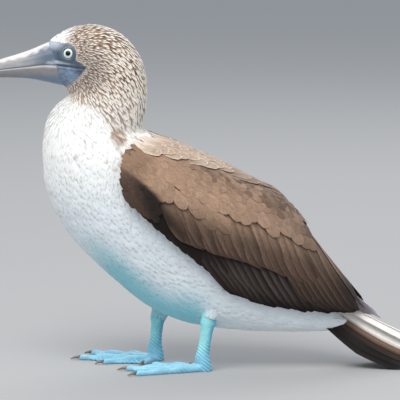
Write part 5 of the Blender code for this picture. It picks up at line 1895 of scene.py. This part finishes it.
@dataclass
class Studio:
    """Camera, floor and light."""

    middle: Vector
    elevation: float = 8.0
    away: float = 8.0
    across: float = 0.460
    sensor: float = 36.0
    floor_half: float = 30.0
    lamps: tuple[tuple[str, Triple, float, float], ...] = (
        ("key", (-0.6, -1.3, 2.2), 1.5, 50.0), ("fill", (1.6, -1.2, 1.0), 2.0, 6.0),
        ("back", (0.3, 1.8, 1.8), 1.6, 18.0))

    def camera(self) -> None:
        """A long lens at the height and angle of the picture."""
        data = bpy.data.cameras.new("camera")
        data.sensor_width = self.sensor
        data.lens = self.sensor * self.away / self.across
        data.clip_end = 50.0
        item = placed("camera", data)
        tip = math.radians(self.elevation)
        item.location = self.middle + Vector((0, -math.cos(tip), math.sin(tip))) * self.away
        item.rotation_euler = (math.radians(90) - tip, 0, 0)
        bpy.context.scene.camera = item

    def floor(self) -> None:
        """A plain pale floor."""
        mesh = bpy.data.meshes.new("floor")
        r = self.floor_half
        mesh.from_pydata([(-r, -r, 0), (r, -r, 0), (r, r, 0), (-r, r, 0)], [], [(0, 1, 2, 3)])
        finish = bpy.data.materials.new("studio_floor")
        finish.use_nodes = True
        face = finish.node_tree.nodes["Principled BSDF"]
        face.inputs["Base Color"].default_value = (0.42, 0.42, 0.42, 1)
        face.inputs["Roughness"].default_value = 0.9
        mesh.materials.append(finish)
        placed("floor", mesh)

    def light(self) -> None:
        """Soft light from above and in front, with a pale surround."""
        world = bpy.data.worlds.new("surround")
        world.use_nodes = True
        glow = world.node_tree.nodes["Background"]
        glow.inputs["Color"].default_value = (0.84, 0.91, 1.0, 1)
        glow.inputs["Strength"].default_value = 0.66
        bpy.context.scene.world = world
        for name, place, size, power in self.lamps:
            data = bpy.data.lights.new(name, "AREA")
            data.energy = power
            data.color = (1.0, 0.97, 0.93)
            data.size = size
            item = placed(name, data)
            item.location = place
            way = self.middle - Vector(place)
            item.rotation_euler = way.to_track_quat("-Z", "Y").to_euler()
        settings = bpy.context.scene.view_settings
        settings.view_transform = "Standard"
        settings.look = "None"


@dataclass(frozen=True)
class Stance:
    """How one leg stands: its side, its joints from the body's middle, the foot's turn, the cuff."""

    side: int
    ankle: Triple
    hock: Triple
    knee: Triple
    heading: float
    cuff: float

    def thigh_rows(self) -> list[Row]:
        """Sections of the thigh, from inside the body down to its cuff."""
        hock, knee, cuff = Vector(self.hock), Vector(self.knee), self.cuff
        end, top = 0.0092, 0.0148
        shank = (knee - hock).normalized()
        across = Vector((shank.z, 0, -shank.x)).normalized()
        rows = []
        for s, size, half in ((1.35, top * 1.9, 0.0050), (1.0, top * 1.75, 0.0060),
                              (0.75, top * 1.50, 0.0066), (0.5, top * 1.15, 0.0074),
                              (0.28 + cuff, end * 1.28, 0.0082), (0.12 + cuff, end * 1.06, 0.0082),
                              (cuff, end * 0.92, 0.0076)):
            middle = hock.lerp(knee, s)
            back, front = middle + across * size, middle - across * size
            rows.append((back.x, back.z, front.x, front.z, half, 0.0, middle.y))
        return rows


STANCES = {
    "left": Stance(-1, (-0.0030, -0.038, 0.0150), (0.0034, -0.037, 0.0560), (0.0180, -0.028, 0.0980),
                   2.0, 0.14),
    "right": Stance(1, (-0.0580, 0.038, 0.0150), (-0.0545, 0.037, 0.0500), (-0.0380, 0.029, 0.0930),
                    6.0, 0.02),
}


def wing_rows(backs: list[Triple],
              ends: list[Row]) -> list[Row]:
    """Sections of the body with closed wings on it."""
    fronts = [row[2:4] for row in TORSO_SECTIONS]
    body = [(x, z, *front, half, 0.0) for (x, z, half), front in zip(backs, fronts)]
    return [NECK_SECTIONS[-1], *body, *ends]


def dress(item: Object, slot: str, *nodes: str) -> None:
    """Make a piece ride on the body, stand for its nodes, and report it."""
    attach(item, BODY)
    if nodes:
        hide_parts(*nodes)
    item.data.calc_loop_triangles()
    LOG.info("%s: %d triangles", item.name, len(item.data.loop_triangles))


def main() -> None:
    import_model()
    low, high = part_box("torso")
    shift = Vector((high.x - TAIL_ROOT_X, (low.y + high.y) / 2, 0.0))
    LOG.info("shift %s", tuple(shift))

    skin_form = Form(HEAD_SECTIONS + NECK_SECTIONS + TORSO_SECTIONS + RUMP_SECTIONS, shift)
    wing_form = Form(wing_rows(CONTOUR_BACKS, [CONTOUR_END, CONTOUR_TIP]), shift)
    far_form = Form(wing_rows(CONTOUR_BACKS[:-len(FAR_BACKS)] + FAR_BACKS, [FAR_END, FAR_TIP]), shift)
    thighs = {name: Form(stance.thigh_rows(), shift) for name, stance in STANCES.items()}

    white = Plume("white_plumage", 0.80, 0.30, 0.25, contrast=0.06, relief=0.25).make()
    streaked = Plume("head_plumage", 0.78, 0.30, 0.2, contrast=0.12).make()
    brown = Plume("brown_plumage", 0.66, 0.18, 0.05, comb=0.65, contrast=0.30, relief=0.45).make()
    tail_finish = Plume("tail_plumage", 0.62, 0.20, 0.03, contrast=0.18, relief=0.45).make()
    skin_finish = Hide("face_skin", 0.52, 0.45).make()
    leg_finish = Hide("foot_skin", 0.42, 0.5, cell=700.0, relief=0.6).make()
    bill_finish = Horn("bill_horn", 0.38, 0.5).make()
    claw_finish = Horn("claw_horn", 0.40, 0.5, stretch=4.0).make()
    eye_finish = Horn("eye", 0.08, 0.20, coat=0.12, contrast=0.02, relief=0.0).make()

    skin = Skin(skin_form, list(thighs.values())).build(skin_finish)
    dress(skin, "face_skin", "head", "neck", "torso", "thigh_left", "thigh_right")
    for item in Coat(skin_form).build(streaked, white):
        dress(item, "white_plumage" if "body" in item.name else "head_plumage")
    for name, form in thighs.items():
        dress(Thigh(form, f"coat_thigh_{name}").build(white), "white_plumage")
    for side, name in SIDES:
        pieces = Wing(wing_form if side < 0 else far_form, side, name).build(brown)
        for item in pieces:
            dress(item, "brown_plumage")
        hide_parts(f"wing_{name}")
    dress(Mantle(wing_form).build(brown), "brown_plumage")
    dress(Tail(shift).build(tail_finish), "tail_plumage", "tail")
    for item, node in zip(Bill(shift).build(bill_finish), ("bill_upper", "bill_lower")):
        dress(item, "bill_horn", node)
    place = skin_form.find([EYE_SPOT[0]], [EYE_SPOT[1]])
    out = skin_form.slopes(*place)[2][0]
    for side, name in SIDES:
        low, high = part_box(f"eye_{name}")
        gaze = Vector((out[0] * 0.5, abs(out[1]) * side, out[2]))
        eye = Eye((low + high) / 2 + Vector((0.0010, 0, 0)), gaze, name)
        dress(eye.ball(eye_finish), "eye", f"eye_{name}")
        dress(eye.lids(skin_finish), "face_skin")
    for name, stance in STANCES.items():
        leg, claws = Leg(name, stance.side, Vector(stance.ankle) + shift, Vector(stance.hock) + shift,
                         stance.heading).build(leg_finish, claw_finish)
        dress(leg, "foot_skin", f"tarsus_{name}", f"foot_{name}")
        dress(claws, "claw_horn")

    studio = Studio(Vector(VIEW_MIDDLE) + Vector((shift.x, 0, 0)))
    studio.camera()
    studio.floor()
    studio.light()


if __name__ == "__main__":
    logging.basicConfig(level=logging.INFO, format="%(message)s")
    main()
